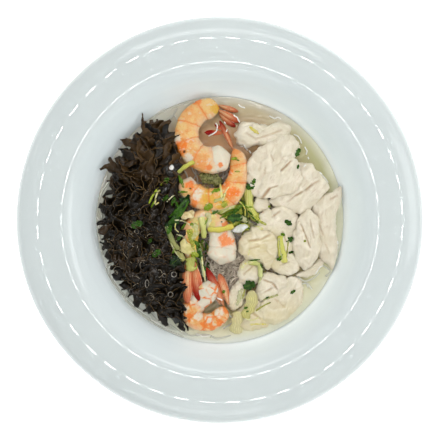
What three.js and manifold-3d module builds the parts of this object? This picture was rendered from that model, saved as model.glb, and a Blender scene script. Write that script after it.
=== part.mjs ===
// A wide-rimmed soup bowl of clear broth and glass vermicelli, topped with shredded wood ear mushroom,
// four peeled prawns with their tails on, slices of poached chicken breast, and leek and herb leaves.
//
// Millimetres, +Z up. The origin is at the middle of the bowl's foot, on the surface it stands on.
// +X is to the right and +Y away from the diner, as the bowl is seen from straight above.
// The pieces lie in each other as a filled bowl's do: each one is cut back by GAP from what lies on it.

import * as THREE from "three";
import { mergeVertices } from "three/addons/utils/BufferGeometryUtils.js";
import Module from "manifold-3d";

const wasm = await Module();
wasm.setup();

// ---- Driving dimensions -------------------------------------------------------------------------

const GAP = 0.3; // clearance between pieces that touch
const TURNS = 40; // facets round the bowl, its broth and the space inside it

const RIM_RADIUS = 135;
const CREST_RADIUS = 119.5; // the rim's highest ring, where it starts to fall to the edge
const CREST_HEIGHT = 54;
const SHOULDER_RADIUS = 104; // where the flat rim turns down into the well
const SHOULDER_HEIGHT = 52.6;
const WALL = 4.6; // thickness of the glazed body
const FOOT_RADIUS = 52;
const FOOT_WIDTH = 6;
const FOOT_RECESS = 2.6;
const WELL_FLOOR = 9;
const BASE_RADIUS = 63; // the bowl's floor and foot, inside the wall of its well
const BROTH_LEVEL = 32;
const BROTH_RADIUS = 83.2;

const NEST_CENTRE = [8, -1]; // the nest of vermicelli under the toppings
const NEST_RADIUS = 57;
const NEST_TOP = 32.6; // just out of the broth
const NOODLE_THICKNESS = 1.6;

const SLICE_STEPS = 14; // points round a chicken slice, and rings from its top to its underside
const SLICE_RINGS = 4;
const PRAWN_STEPS = 8; // points round a prawn's body, and rings along it
const PRAWN_RINGS = 14;
const PRAWN_SEGMENTS = 6;

// ---- Making solids ------------------------------------------------------------------------------

// A repeatable random draw between 0 and 1.
function seeded(seed) {
  let state = seed;
  return () => {
    state = (state * 16807) % 2147483647;
    return state / 2147483647;
  };
}

// A geometry as a solid: its shared corners merged, its collapsed triangles dropped, its faces outward.
function solid(geometry) {
  const bare = new THREE.BufferGeometry().setAttribute("position", geometry.getAttribute("position"));
  bare.setIndex(geometry.index);
  const merged = mergeVertices(bare, 1e-4);
  const corners = merged.index.array;
  const kept = [];
  for (let i = 0; i < corners.length; i += 3) {
    const [a, b, c] = corners.slice(i, i + 3);
    if (a !== b && b !== c && c !== a) kept.push(a, b, c);
  }
  const make = (triVerts) =>
    new wasm.Manifold(
      new wasm.Mesh({
        numProp: 3,
        vertProperties: new Float32Array(merged.attributes.position.array),
        triVerts: new Uint32Array(triVerts),
      }),
    );
  const made = make(kept);
  return made.volume() > 0 ? made : make(kept.reverse());
}

function geometryOf(made) {
  const { vertProperties, triVerts, numProp, numVert } = made.getMesh();
  const places = new Float32Array(numVert * 3);
  for (let i = 0; i < numVert; i++) {
    places.set(vertProperties.subarray(i * numProp, i * numProp + 3), i * 3);
  }
  return new THREE.BufferGeometry()
    .setAttribute("position", new THREE.BufferAttribute(places, 3))
    .setIndex(new THREE.BufferAttribute(triVerts, 1));
}

// The largest body of a solid that a cut may have left with loose scraps.
function largest(made) {
  return made.decompose().reduce((best, body) => (body.volume() > best.volume() ? body : best));
}

const joined = (solids) => solids.reduce((all, next) => all.add(next));

// A profile of [radius, height] points turned round Z.
function turned(profile) {
  const points = profile.map(([radius, height]) => new THREE.Vector2(radius, height));
  return new THREE.LatheGeometry(points, TURNS).rotateX(Math.PI / 2);
}

// A sphere whose vertices are placed again: place(u, v) takes the share of a turn and the share from pole
// to pole, and gives a point.
function reshapedSphere(steps, rings, place) {
  const geometry = new THREE.SphereGeometry(1, steps, rings);
  const spots = geometry.getAttribute("position");
  for (let ring = 0, i = 0; ring <= rings; ring++) {
    for (let step = 0; step <= steps; step++, i++) {
      const point = place((step % steps) / steps, ring / rings);
      spots.setXYZ(i, point.x, point.y, point.z);
    }
  }
  return geometry;
}

// A thin sheet as a closed solid: place(u, v) gives its middle surface, and both faces are split into
// triangles alike.
function sheetSolid(lengthSteps, widthSteps, thickness, place) {
  const plane = new THREE.PlaneGeometry(1, 1, lengthSteps, widthSteps);
  const flat = plane.getAttribute("position");
  const places = [];
  for (const side of [0.5, -0.5]) {
    for (let i = 0; i < flat.count; i++) {
      const u = flat.getX(i) + 0.5;
      const v = flat.getY(i) + 0.5;
      const here = place(u, v);
      const along = place(u + 1e-3, v).sub(here);
      const across = place(u, v + 1e-3).sub(here);
      const face = along.cross(across).normalize();
      places.push(...here.clone().addScaledVector(face, side * thickness));
    }
  }
  const upper = [...plane.index.array];
  const lower = upper.map((corner) => corner + flat.count).reverse();
  const row = lengthSteps + 1;
  const edge = [];
  for (let i = 0; i < lengthSteps; i++) edge.push(i);
  for (let i = 0; i < widthSteps; i++) edge.push(i * row + lengthSteps);
  for (let i = 0; i < lengthSteps; i++) edge.push(widthSteps * row + lengthSteps - i);
  for (let i = 0; i < widthSteps; i++) edge.push((widthSteps - i) * row);
  const walls = edge.flatMap((a, i) => {
    const b = edge[(i + 1) % edge.length];
    return [a, b, a + flat.count, b, b + flat.count, a + flat.count];
  });
  const geometry = new THREE.BufferGeometry();
  geometry.setAttribute("position", new THREE.Float32BufferAttribute(places, 3));
  geometry.setIndex([...upper, ...lower, ...walls]);
  return solid(geometry);
}

const vector = (x, y, z = 0) => new THREE.Vector3(x, y, z);
const curveThrough = (points, closed = false) =>
  new THREE.CatmullRomCurve3(
    points.map((p) => vector(...p)),
    closed,
    "centripetal",
  );
const ease = (t) => Math.sin(Math.min(Math.max(t, 0), 1) * (Math.PI / 2));
// How far a form stands out between its poles at v = 0 and v = 1: a lower power is more box-like.
const fullness = (v, power) => (v > 0 && v < 1 ? Math.sin(v * Math.PI) ** power : 0);

// ---- The bowl -----------------------------------------------------------------------------------

// The inner face from the well's floor to the rim's edge, and the underside back to the foot.
const WELL = [
  [0, WELL_FLOOR],
  [FOOT_RADIUS, WELL_FLOOR + 0.6],
  [BASE_RADIUS, WELL_FLOOR + 3.8],
  [72, WELL_FLOOR + 10.6],
  [BROTH_RADIUS, BROTH_LEVEL],
  [92, 41.5],
  [99, 48.8],
  [SHOULDER_RADIUS, SHOULDER_HEIGHT],
];
const RIM = [
  [111, CREST_HEIGHT - 0.5],
  [CREST_RADIUS, CREST_HEIGHT],
  [127, CREST_HEIGHT - 2],
  [132.6, CREST_HEIGHT - 5.4],
  [RIM_RADIUS, CREST_HEIGHT - 8.6],
  [RIM_RADIUS - 1.4, CREST_HEIGHT - 9.8],
  [127, CREST_HEIGHT - 2 - WALL],
  [117, CREST_HEIGHT - WALL - 0.4],
];
const WALL_UNDERSIDE = [
  [SHOULDER_RADIUS, SHOULDER_HEIGHT - WALL - 2],
  [96, 38.8],
  [82, 24],
  [71, 12.6],
  [BASE_RADIUS, 8],
];
const FOOT = [
  [58, 5.2],
  [FOOT_RADIUS, 3.8],
  [FOOT_RADIUS, 0],
  [FOOT_RADIUS - FOOT_WIDTH, 0],
  [FOOT_RADIUS - FOOT_WIDTH - 1.2, FOOT_RECESS],
  [0, FOOT_RECESS],
];

// The bowl is one piece of porcelain. It is drawn as three simpler ones, each inside the next: its base
// with the foot, the wall of its well, and its wide rim. A profile's end points are brought in by half
// of GAP from the radii that it lies between.
function bowlPiece(profile, from, to) {
  const inner = from && from + GAP / 2;
  const within = (radius) => THREE.MathUtils.clamp(radius, inner, to - GAP / 2);
  return solid(turned(profile.map(([radius, height]) => [within(radius), height])));
}
const baseProfile = [...WELL.slice(0, 3), WALL_UNDERSIDE.at(-1), ...FOOT];
const wallProfile = [...WELL.slice(2), ...WALL_UNDERSIDE, WELL[2]];
const rimProfile = [WELL.at(-1), ...RIM, WALL_UNDERSIDE[0], WELL.at(-1)];
const bowlBase = bowlPiece(baseProfile, 0, BASE_RADIUS);
const bowlWall = bowlPiece(wallProfile, BASE_RADIUS, SHOULDER_RADIUS);
const bowlRim = bowlPiece(rimProfile, SHOULDER_RADIUS, RIM_RADIUS + GAP);

// The space that the contents may fill: the well, GAP clear of its face, up to above the rim.
const wellSpace = solid(
  turned([
    ...WELL.map(([radius, height], i) => [i ? radius - GAP * 0.8 : 0, height + GAP]),
    [SHOULDER_RADIUS, CREST_HEIGHT + 10],
    [0, CREST_HEIGHT + 10],
  ]),
);

// ---- Chicken ------------------------------------------------------------------------------------

// Poached breast, cut across the grain. An outline is seen from above. A slice's middle lies at its
// height, on the slope [dz/dx, dz/dy]. The rows run from the slices on top to those underneath.
const CHICKEN = [
  {
    name: "chicken_3",
    height: 42.4,
    thickness: 6,
    slope: [0.02, -0.04],
    outline: [[26, 20], [31, 31], [40, 38.5], [49, 40.5], [54, 33], [53, 24], [48, 18], [41, 17.5], [33, 14]],
  },
  {
    name: "chicken_2",
    height: 38.6,
    thickness: 9,
    slope: [-0.03, -0.02],
    outline: [
      [18, 29], [19, 39], [25, 46.5], [34, 52.5], [42, 57], [50, 55.5], [53, 48.5], [50.5, 41], [45, 33],
      [38, 24], [31, 15], [23.5, 17],
    ],
  },
  {
    name: "chicken_9",
    height: 38.4,
    thickness: 8.4,
    slope: [0.03, 0],
    outline: [
      [12.5, -17], [16, -9.5], [23, -5.5], [32, -8], [38, -12], [39, -20], [36.8, -25.5], [34.4, -31],
      [31, -32.6], [27.4, -28], [20, -26], [14, -22.5],
    ],
  },
  {
    name: "chicken_6",
    height: 39.4,
    thickness: 8,
    slope: [0.03, 0.05],
    outline: [
      [59, 6.5], [53.5, 2], [50.5, -6], [49, -17], [51.5, -27], [57, -34], [62, -30], [66, -22], [66.5, -9],
      [65, 2],
    ],
  },
  {
    name: "chicken_8",
    height: 38.2,
    thickness: 8,
    slope: [0, 0],
    outline: [[26, 0], [28, 4.5], [33, 6], [36.5, 1], [34, -6.5], [28, -6]],
  },
  {
    name: "chicken_7",
    height: 37.4,
    thickness: 7.4,
    slope: [0, 0.03],
    outline: [[36, 8], [44, 9], [51.5, 2], [50, -8], [49, -20], [44, -23], [39.5, -12], [33, -7], [31, 1]],
  },
  {
    name: "chicken_17",
    height: 37,
    thickness: 6.6,
    slope: [0, 0],
    outline: [[23.5, 7], [24, 14], [30, 14.5], [32.5, 9], [28, 5.5]],
  },
  {
    name: "chicken_4",
    height: 37.6,
    thickness: 7.8,
    slope: [0, -0.02],
    outline: [
      [34, 13], [40, 19], [47, 20], [52, 28], [52, 37], [60, 37.5], [67, 31], [72.5, 22], [70, 18], [64, 12],
      [59, 6.4], [52, 4.6], [45, 7.4], [38, 9],
    ],
  },
  {
    name: "chicken_5",
    height: 36.2,
    thickness: 8,
    slope: [0.08, 0],
    outline: [
      [71, 17], [76, 19], [81, 22], [81.5, 15], [80, 9], [77.5, 3], [77.5, -8], [79, -15], [78, -25],
      [75.5, -32], [71, -28], [66, -23], [64, -12], [63, 0], [62, 10],
    ],
  },
  {
    name: "chicken_10",
    height: 37.2,
    thickness: 7,
    slope: [0, -0.02],
    outline: [[33.5, -28.5], [38, -24.5], [45, -22], [51, -26], [53, -33], [46, -36.5], [38, -34.5]],
  },
  {
    name: "chicken_11",
    height: 37.2,
    thickness: 7.2,
    slope: [0, 0],
    outline: [[13, -32], [16, -28], [22, -27], [27, -32], [26.5, -38], [21, -43], [14.5, -42]],
  },
  {
    name: "chicken_12",
    height: 38,
    thickness: 7,
    slope: [0, 0.02],
    outline: [
      [25, -48], [27, -40], [31, -35], [37, -37], [44.5, -38], [45, -43.5], [39, -49], [32, -51.5],
      [27, -54.5],
    ],
  },
  {
    name: "chicken_15",
    height: 36.6,
    thickness: 6.6,
    slope: [0, 0.02],
    outline: [[4.8, -53], [8, -46], [13, -41], [17, -46], [16, -54], [10, -60], [6, -58]],
  },
  {
    name: "chicken_16",
    height: 34.4,
    thickness: 5.4,
    slope: [-0.06, 0.04],
    outline: [[51, -37], [58, -33], [66, -27], [69.5, -28], [65, -35], [57, -39]],
  },
  {
    name: "chicken_13",
    height: 35.4,
    thickness: 7.6,
    slope: [-0.06, 0.1],
    outline: [
      [45, -38], [52, -38.5], [56, -46], [54.5, -56], [48, -64], [39, -69], [30, -69], [26, -60],
      [33, -48], [40, -42],
    ],
  },
  {
    name: "chicken_14",
    height: 33.8,
    thickness: 7,
    slope: [0, 0.08],
    outline: [[14, -58], [20, -53], [28, -55], [34, -62], [32, -71.5], [22, -74], [12, -73], [7, -67]],
  },
  {
    name: "chicken_1",
    height: 34.4,
    thickness: 11,
    slope: [0, 0],
    outline: [
      [10.5, 57], [13, 51.5], [19, 49], [25, 50.5], [33, 50], [42, 52], [47, 58], [46, 63], [40, 65.5],
      [32, 63.5], [27, 64], [22, 66], [15, 65],
    ],
  },
];

function chickenSlice({ outline, height, thickness, slope }, grow = 0) {
  const edge = curveThrough(outline, true);
  const middle = outline
    .reduce((sum, [x, y]) => sum.add(vector(x, y)), vector(0, 0))
    .divideScalar(outline.length);
  const crown = 0.22 * thickness; // how much the slice's middle stands over its rounded edge
  return solid(
    reshapedSphere(SLICE_STEPS, SLICE_RINGS, (u, v) => {
      const rim = edge.getPointAt(u);
      const reach = fullness(v, 0.5);
      const out = rim.clone().sub(middle);
      const spot = middle.clone().addScaledVector(out, reach * (1 + grow / out.length()));
      const side = Math.sign(Math.round(1e6 * Math.cos(v * Math.PI)));
      const lift = side * (thickness / 2 + grow) * Math.abs(Math.cos(v * Math.PI)) ** 0.55;
      const incline = slope[0] * (spot.x - middle.x) + slope[1] * (spot.y - middle.y);
      return vector(spot.x, spot.y, height + incline + lift - crown * reach ** 2);
    }),
  );
}

// ---- Prawns -------------------------------------------------------------------------------------

// Each lies on its side in a curl. A path runs from the thick cut end to the root of the tail, and
// half widths are from back to belly at the cut end, the middle and the tail. The fan spreads from the
// path's end to tip, opened by spread radians, and back says on which side of the path the back is.
const PRAWNS = [
  {
    name: "prawn_1",
    path: [
      [7.4, 43.4, 40], [-6, 40, 40.2], [-16, 43.5, 40.2], [-21.5, 51.5, 39.8], [-22, 60, 38.8],
      [-18, 68.5, 38], [-9.5, 74, 37.4], [0, 74.6, 36.6],
    ],
    halfWidths: [9.2, 8.4, 6.8],
    thickness: 13,
    back: 1,
    tip: [13, 65, 34.6],
    spread: 0.4,
  },
  {
    name: "prawn_3",
    path: [
      [0, -30, 39], [1.6, -20, 39.8], [0.8, -10, 39.8], [-2.6, -2.6, 40], [-9, 1.2, 40], [-15.4, -1, 40],
      [-19, -8, 40], [-20, -17, 40], [-20, -27, 40.8],
    ],
    halfWidths: [10.6, 6.4, 5],
    thickness: 12.6,
    back: -1,
    tip: [-19.6, -54, 43],
    spread: 0.2,
  },
  {
    name: "prawn_2",
    path: [
      [-19.6, 29, 39.8], [-20.2, 21.5, 39.8], [-14.5, 15.5, 39.8], [-5, 13.2, 39.8], [4.4, 15.6, 39.6],
      [10, 22.4, 39], [12.2, 31, 38.6], [12.2, 40, 38], [9.6, 48, 37],
    ],
    halfWidths: [7, 8.2, 4.6],
    thickness: 12.6,
    back: 1,
    tip: [-4, 64, 29.6],
    spread: 0.45,
  },
  {
    name: "prawn_4",
    path: [
      [-7.4, -40, 39.4], [-8.6, -48, 39.6], [-15, -54.6, 37], [-19.6, -60.8, 36.8], [-15.6, -67, 37],
      [-7.8, -68.4, 37.4], [-0.6, -65, 37.8], [3.2, -57.6, 38.4],
    ],
    halfWidths: [7.6, 6.6, 5.2],
    thickness: 12.4,
    back: 1,
    tip: [-6.8, -32.6, 40],
    spread: 0.2,
  },
];
const FAN = [
  { side: -1, reach: 0.86 },
  { side: -0.1, reach: 1 },
  { side: 0.9, reach: 0.9 },
]; // the blades of a tail, across the fan

function prawnBody({ path, halfWidths, thickness, back }, grow) {
  const line = curveThrough(path);
  const [cutEnd, middle, tail] = halfWidths;
  return solid(
    reshapedSphere(PRAWN_STEPS, PRAWN_RINGS, (u, v) => {
      const along = line.getPointAt(v);
      const tangent = line.getTangentAt(v);
      const outward = vector(tangent.y, -tangent.x).normalize().multiplyScalar(-back);
      const cap = Math.min(ease(v / 0.12), ease((1 - v) / 0.1) * 0.75 + 0.25 * ease((1 - v) / 0.04));
      const ridge = 1 + 0.05 * (0.5 - ((v * PRAWN_SEGMENTS) % 1)); // each segment laps over the next
      const half = THREE.MathUtils.lerp(
        THREE.MathUtils.lerp(cutEnd, middle, Math.min(v * 2, 1)),
        tail,
        Math.max(v * 2 - 1, 0),
      );
      const flank = (thickness / 2) * THREE.MathUtils.lerp(1, 0.62, v ** 1.5);
      const turn = u * 2 * Math.PI;
      return along
        .clone()
        .addScaledVector(outward, Math.cos(turn) * (half * ridge * cap + grow * (v > 0 && v < 1)))
        .add(vector(0, 0, Math.sin(turn) * (flank * ridge * cap + grow * (v > 0 && v < 1))));
    }),
  );
}

// The fan: flat blades that leave the tail's root and open sideways.
function prawnTail({ path, tip, spread, halfWidths }, grow) {
  const root = vector(...path.at(-1)).lerp(vector(...path.at(-2)), 0.35);
  const reach = vector(...tip).sub(root);
  const halfWidth = halfWidths[2] * 0.7;
  return FAN.map((blade) => {
    const direction = reach.clone().applyAxisAngle(vector(0, 0, 1), blade.side * spread);
    const across = vector(-direction.y, direction.x).normalize();
    return solid(
      reshapedSphere(6, 5, (u, v) => {
        const swell = fullness(v, 0.7);
        const spill = grow * Math.min(swell * 8, 1);
        const turn = u * 2 * Math.PI;
        return root
          .clone()
          .addScaledVector(direction, v * blade.reach)
          .addScaledVector(across, Math.cos(turn) * (swell * halfWidth + spill))
          .add(vector(0, 0, Math.sin(turn) * (swell * 1.2 + spill)));
      }),
    );
  });
}

const prawn = (piece, grow = 0) => joined([prawnBody(piece, grow), ...prawnTail(piece, grow)]);

// ---- Leek, leaves and garlic --------------------------------------------------------------------

// Strips of leek lie along a path, with a width at each end and the depth of the curve they keep from the
// stalk. Leaves lie round a centre at a turn in radians, on the slope [dz/dx, dz/dy]. The garlic chips are
// given by middle, length, width and height.
const LEEK = [
  { name: "leek_1", path: [[19.6, 23.6, 39], [19.6, 10, 38.6], [24.6, 0, 41.6]],
    widths: [9, 5], hollow: 2.6 },
  { name: "leek_2", path: [[-35.6, -4, 46.4], [-31.5, -13.5, 47], [-24, -27, 45.6]],
    widths: [3.4, 6], hollow: 0.9 },
  { name: "leek_3", path: [[-27.6, 31.4, 46], [-23, 35.4, 46.4], [-17, 38.6, 47]],
    widths: [3, 3.2], hollow: 0.6 },
  { name: "leek_4", path: [[-8, -6.2, 46.4], [0, -6.4, 47.2], [9, -4, 46.6]],
    widths: [3.2, 3.8], hollow: 0.9 },
  { name: "leek_5", path: [[40.4, -10.5, 41.4], [41, -20, 41.6], [43.5, -28.4, 41.6]],
    widths: [4.4, 5], hollow: 0.9 },
  { name: "leek_6", path: [[19, -28.2, 41], [26, -29.8, 41.2], [27, -38, 41]], widths: [3, 3], hollow: 0.6 },
  { name: "leek_7", path: [[-12.6, 2, 46.8], [-11, -4, 46.4], [-10.6, -12, 43]],
    widths: [4.4, 3.2], hollow: 0.8 },
  { name: "leek_8", path: [[-13.6, -19, 42], [-12, -29, 41], [-10.4, -38, 41]],
    widths: [2.2, 2.2], hollow: 0.4 },
  { name: "leek_9", path: [[-19.8, -25, 45.6], [-19.2, -34, 44.6]], widths: [6.4, 5.4], hollow: 1 },
  {
    name: "leek_10",
    path: [[11.2, -61, 39], [11.4, -68.6, 37.8], [11, -76.4, 34.4]],
    widths: [7, 8],
    hollow: 1,
  },
  { name: "leek_11", path: [[22, -47, 41.6], [20.6, -55, 40.4], [17, -66, 38.4]], widths: [7, 7], hollow: 1 },
];
const LEAVES = [
  { name: "leaf_1", centre: [19.6, -43.6, 41], size: [8.2, 6.4], turn: 0.3, slope: [0, 0.1] },
  { name: "leaf_2", centre: [10, 1.4, 45.4], size: [10, 5.8], turn: 0.1, slope: [0.02, -0.16] },
  { name: "leaf_3", centre: [-6, 27.6, 37], size: [16, 8.4], turn: -0.3, slope: [0.05, 0.1] },
  { name: "leaf_4", centre: [-25, 9.6, 46.6], size: [17, 6], turn: 0.95, slope: [0, 0] },
  { name: "leaf_5", centre: [-29.4, -27.4, 45.6], size: [8.4, 7], turn: 0.6, slope: [0, 0.05] },
  { name: "leaf_6", centre: [-31, -2, 46.6], size: [11, 5.6], turn: 0.5, slope: [0, 0] },
];
const GARLIC = [
  { name: "garlic_1", centre: [-21, 3.6, 46], size: [9.2, 5.8, 3.4], turn: 0.25 },
  { name: "garlic_2", centre: [-22.8, -17.6, 46.2], size: [11, 6.6, 3.4], turn: -1.1 },
  { name: "garlic_3", centre: [13.4, -5.4, 42.8], size: [10.6, 4.6, 3.2], turn: 0.28 },
];
const LEEK_THICKNESS = 1.3;
const LEAF_THICKNESS = 0.9;

function leekStrip({ path, widths, hollow }, grow = 0) {
  const line = curveThrough(path);
  return sheetSolid(5, 2, LEEK_THICKNESS + 2 * grow, (u, v) => {
    const share = THREE.MathUtils.clamp(u, 0, 1);
    const tangent = line.getTangentAt(share);
    const across = vector(-tangent.y, tangent.x).normalize();
    const width = THREE.MathUtils.lerp(...widths, share) + 2 * grow;
    return line
      .getPointAt(share)
      .addScaledVector(across, (v - 0.5) * width)
      .addScaledVector(tangent, (u - 0.5) * 2 * grow)
      .add(vector(0, 0, -hollow * (2 * Math.abs(v - 0.5)) ** 2));
  });
}

function leaf({ centre, size: [length, width], turn, slope }, grow = 0) {
  const along = vector(Math.cos(turn), Math.sin(turn));
  const across = vector(-along.y, along.x);
  return sheetSolid(4, 2, LEAF_THICKNESS + 2 * grow, (u, v) => {
    const breadth = 0.35 + 0.65 * Math.sin(Math.min(Math.max(u, 0), 1) * Math.PI);
    const away = vector(0, 0)
      .addScaledVector(along, (u - 0.5) * (length + 2 * grow))
      .addScaledVector(across, (v - 0.5) * (width + 2 * grow) * breadth);
    const wave = 0.7 * Math.sin(7 * u + turn * 5) * Math.cos(3 * (v - 0.5));
    away.z = wave + slope[0] * away.x + slope[1] * away.y;
    return away.add(vector(...centre));
  });
}

function garlicChip({ centre, size: [length, width, height], turn }, grow = 0) {
  const along = vector(Math.cos(turn), Math.sin(turn));
  const across = vector(-along.y, along.x);
  return solid(
    reshapedSphere(8, 5, (u, v) => {
      const ring = fullness(v, 1);
      const plump = 1 + 0.12 * Math.cos(2 * Math.PI * u); // one end is blunter
      return vector(...centre)
        .addScaledVector(along, Math.cos(2 * Math.PI * u) * ring * (length / 2 + grow))
        .addScaledVector(across, Math.sin(2 * Math.PI * u) * ring * plump * (width / 2 + grow))
        .add(vector(0, 0, Math.cos(v * Math.PI) * (height / 2 + grow)));
    }),
  );
}

// Pale shreds of leek, heaped between the two middle prawns under the strips and leaves: a core with the
// shreds that show fused on.
const BED_CENTRE = [3, 4];
const BED_RADII = [18, 8];
const BED_BASE = 33;
const BED_TOP = 40.6;
const BED_SHREDS = [
  { path: [[-17, 1, 41.4], [-6, 2.6, 42.6], [4, 6.4, 42.4], [14, 9.4, 40.2]], widths: [3, 4.2], hollow: 0.8 },
  { path: [[15, 13, 38.4], [16.6, 4, 40], [17.6, -4, 39.6]], widths: [3, 3.6], hollow: 0.7 },
  { path: [[6, 1.6, 41.8], [12, -3, 41], [19.6, -5.4, 41]], widths: [4.6, 4], hollow: 0.8 },
  { path: [[-6, 6, 41.6], [2, 9.4, 41], [9, 11.6, 40.2]], widths: [3, 2.4], hollow: 0.6 },
];

function bedCore(grow = 0) {
  const [cx, cy] = BED_CENTRE;
  const [rx, ry] = BED_RADII;
  return solid(
    reshapedSphere(14, 4, (u, v) => {
      const turn = u * 2 * Math.PI;
      const reach = fullness(v, 0.6);
      const height = THREE.MathUtils.lerp(BED_BASE - grow, BED_TOP + grow, (1 + Math.cos(v * Math.PI)) / 2);
      return vector(
        cx + reach * (rx + grow) * Math.cos(turn),
        cy + reach * (ry + grow) * Math.sin(turn),
        height,
      );
    }),
  );
}

// ---- Wood ear -----------------------------------------------------------------------------------

// Soaked and shredded wood ear, heaped on the left from the far edge to the near one and a little up the
// wall. The heap is a core with the shreds that show fused on.
const HEAP_OUTLINE = [
  [-48, 62], [-38, 61], [-32, 55], [-29, 46], [-27, 36], [-30, 24], [-25, 12], [-25, 2], [-28, -8],
  [-27, -24], [-26.5, -40], [-26, -56], [-25, -68], [-38, -63], [-51, -56], [-61, -46], [-69, -34],
  [-74, -18], [-75.5, 0], [-73, 16], [-70, 32], [-63, 46], [-55, 52],
];
const HEAP_MIDDLE = [-52, 2];
const HEAP_BASE = 26;
const HEAP_EDGE = 36; // the heap's height at the wall
const HEAP_TOP = 42.6;
const SHRED_SPACING = 11; // between the middles of the shreds that show
const SHRED_TRIES = 900;
const SHRED_SIZE = [17, 5, 1.4];
// Shreds that reach out of the heap, each by its tip and the way it points in radians.
const EDGE_SHREDS = [
  { tip: [-51, 70, 41], points: 1.75 },
  { tip: [-42, 67, 39.6], points: 1.2 },
  { tip: [-66, 53.5, 42], points: 2.5 },
  { tip: [-73, 41, 41.6], points: 2.4 },
  { tip: [-79.5, 33.6, 42], points: 2.85 },
  { tip: [-77, 17, 39.8], points: 3.5 },
  { tip: [-82.4, -3, 39.6], points: 3.3 },
  { tip: [-80.4, -14.5, 39], points: 3 },
  { tip: [-66.5, -44, 37.6], points: 3.6 },
  { tip: [-61.5, -51.6, 37.4], points: 4.2 },
  { tip: [-28, -72, 36.4], points: 4.6 },
];

const heapEdge = curveThrough(HEAP_OUTLINE, true);

function heapHeight(x, y) {
  const fromWall = THREE.MathUtils.clamp((84 - Math.hypot(x, y)) / 26, 0, 1);
  return HEAP_EDGE + (HEAP_TOP - HEAP_EDGE) * ease(fromWall);
}

// Whether a place is over the heap: a line from it to the right crosses the outline an odd number of times.
function overHeap(x, y) {
  return HEAP_OUTLINE.reduce((inside, [x1, y1], i) => {
    const [x2, y2] = HEAP_OUTLINE[(i + 1) % HEAP_OUTLINE.length];
    const crosses = y1 > y !== y2 > y && x < x1 + ((y - y1) / (y2 - y1)) * (x2 - x1);
    return crosses ? !inside : inside;
  }, false);
}

function heapCore(grow = 0) {
  const middle = vector(...HEAP_MIDDLE);
  return solid(
    reshapedSphere(26, 5, (u, v) => {
      const out = heapEdge.getPointAt(u).sub(middle);
      const reach = fullness(v, 0.5);
      const spot = middle.clone().addScaledVector(out, reach * (1 + grow / out.length()));
      const share = (1 + Math.cos(v * Math.PI)) / 2;
      const top = heapHeight(spot.x, spot.y) + grow;
      return vector(spot.x, spot.y, THREE.MathUtils.lerp(HEAP_BASE - grow, top, share ** 0.7));
    }),
  );
}

// A shred: a thin strip that bends up along its length, cupped and twisted.
function shred({ middle, points, tilt, curl, twist, length, width }, grow = 0) {
  const [, , thickness] = SHRED_SIZE;
  const along = vector(Math.cos(points), Math.sin(points));
  const across = vector(-along.y, along.x);
  return sheetSolid(4, 1, thickness + 2 * grow, (u, v) => {
    const s = (u - 0.5) * (length + 2 * grow);
    const bend = (s / length) * curl;
    const roll = tilt + twist * (u - 0.5);
    const side = (v - 0.5) * (width * (0.75 + 0.4 * Math.sin(u * Math.PI)) + 2 * grow);
    return middle
      .clone()
      .addScaledVector(along, s * Math.cos(bend * 0.5))
      .addScaledVector(across, side * Math.cos(roll) + length * 0.12 * Math.sin(bend))
      .add(vector(0, 0, side * Math.sin(roll) + Math.abs(s) * Math.sin(Math.abs(bend)) * 0.4));
  });
}

// The heap's shreds: those on top lie evenly scattered, turned and curled by a seeded draw, then come
// those that reach out of its edge.
function heapShreds() {
  const draw = seeded(811);
  const [length, width] = SHRED_SIZE;
  const found = [];
  for (let i = 0; i < SHRED_TRIES; i++) {
    const x = THREE.MathUtils.lerp(-76, -25, draw());
    const y = THREE.MathUtils.lerp(-68, 62, draw());
    const crowded = found.some(({ middle }) => Math.hypot(middle.x - x, middle.y - y) < SHRED_SPACING);
    if (crowded || !overHeap(x, y)) continue;
    found.push({
      middle: vector(x, y, heapHeight(x, y) + 0.8),
      points: draw() * Math.PI,
      tilt: (draw() - 0.5) * 1.9,
      curl: 0.6 + draw() * 1.1,
      twist: (draw() - 0.5) * 1.6,
      length: length * (0.75 + 0.5 * draw()),
      width: width * (0.8 + 0.5 * draw()),
    });
  }
  for (const { tip, points } of EDGE_SHREDS) {
    const back = vector(Math.cos(points), Math.sin(points)).multiplyScalar(-length / 2);
    found.push({
      middle: vector(...tip).add(back).add(vector(0, 0, -1.5)),
      points,
      tilt: (draw() - 0.5) * 1.2,
      curl: 0.5,
      twist: 0.8,
      length,
      width,
    });
  }
  return found;
}

// ---- Vermicelli ---------------------------------------------------------------------------------

// The nest fills the well under the toppings and stands just out of the broth. Strands show where the
// toppings leave it bare.
const BARE_SPOT = { centre: [7, -34], radii: [7, 7.4] };
const STRAND_COUNT = 5;
const STRAND_SIDES = 5;

function nestCore(grow = 0) {
  return solid(
    reshapedSphere(26, 5, (u, v) => {
      const turn = u * 2 * Math.PI;
      const reach = fullness(v, 0.35) * (NEST_RADIUS + grow);
      const share = (1 + Math.cos(v * Math.PI)) / 2;
      const height = THREE.MathUtils.lerp(WELL_FLOOR + 1.4 - grow, NEST_TOP + grow, share ** 0.3);
      const [x, y] = NEST_CENTRE;
      return vector(x + reach * Math.cos(turn), y + reach * Math.sin(turn), height);
    }),
  );
}

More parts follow.
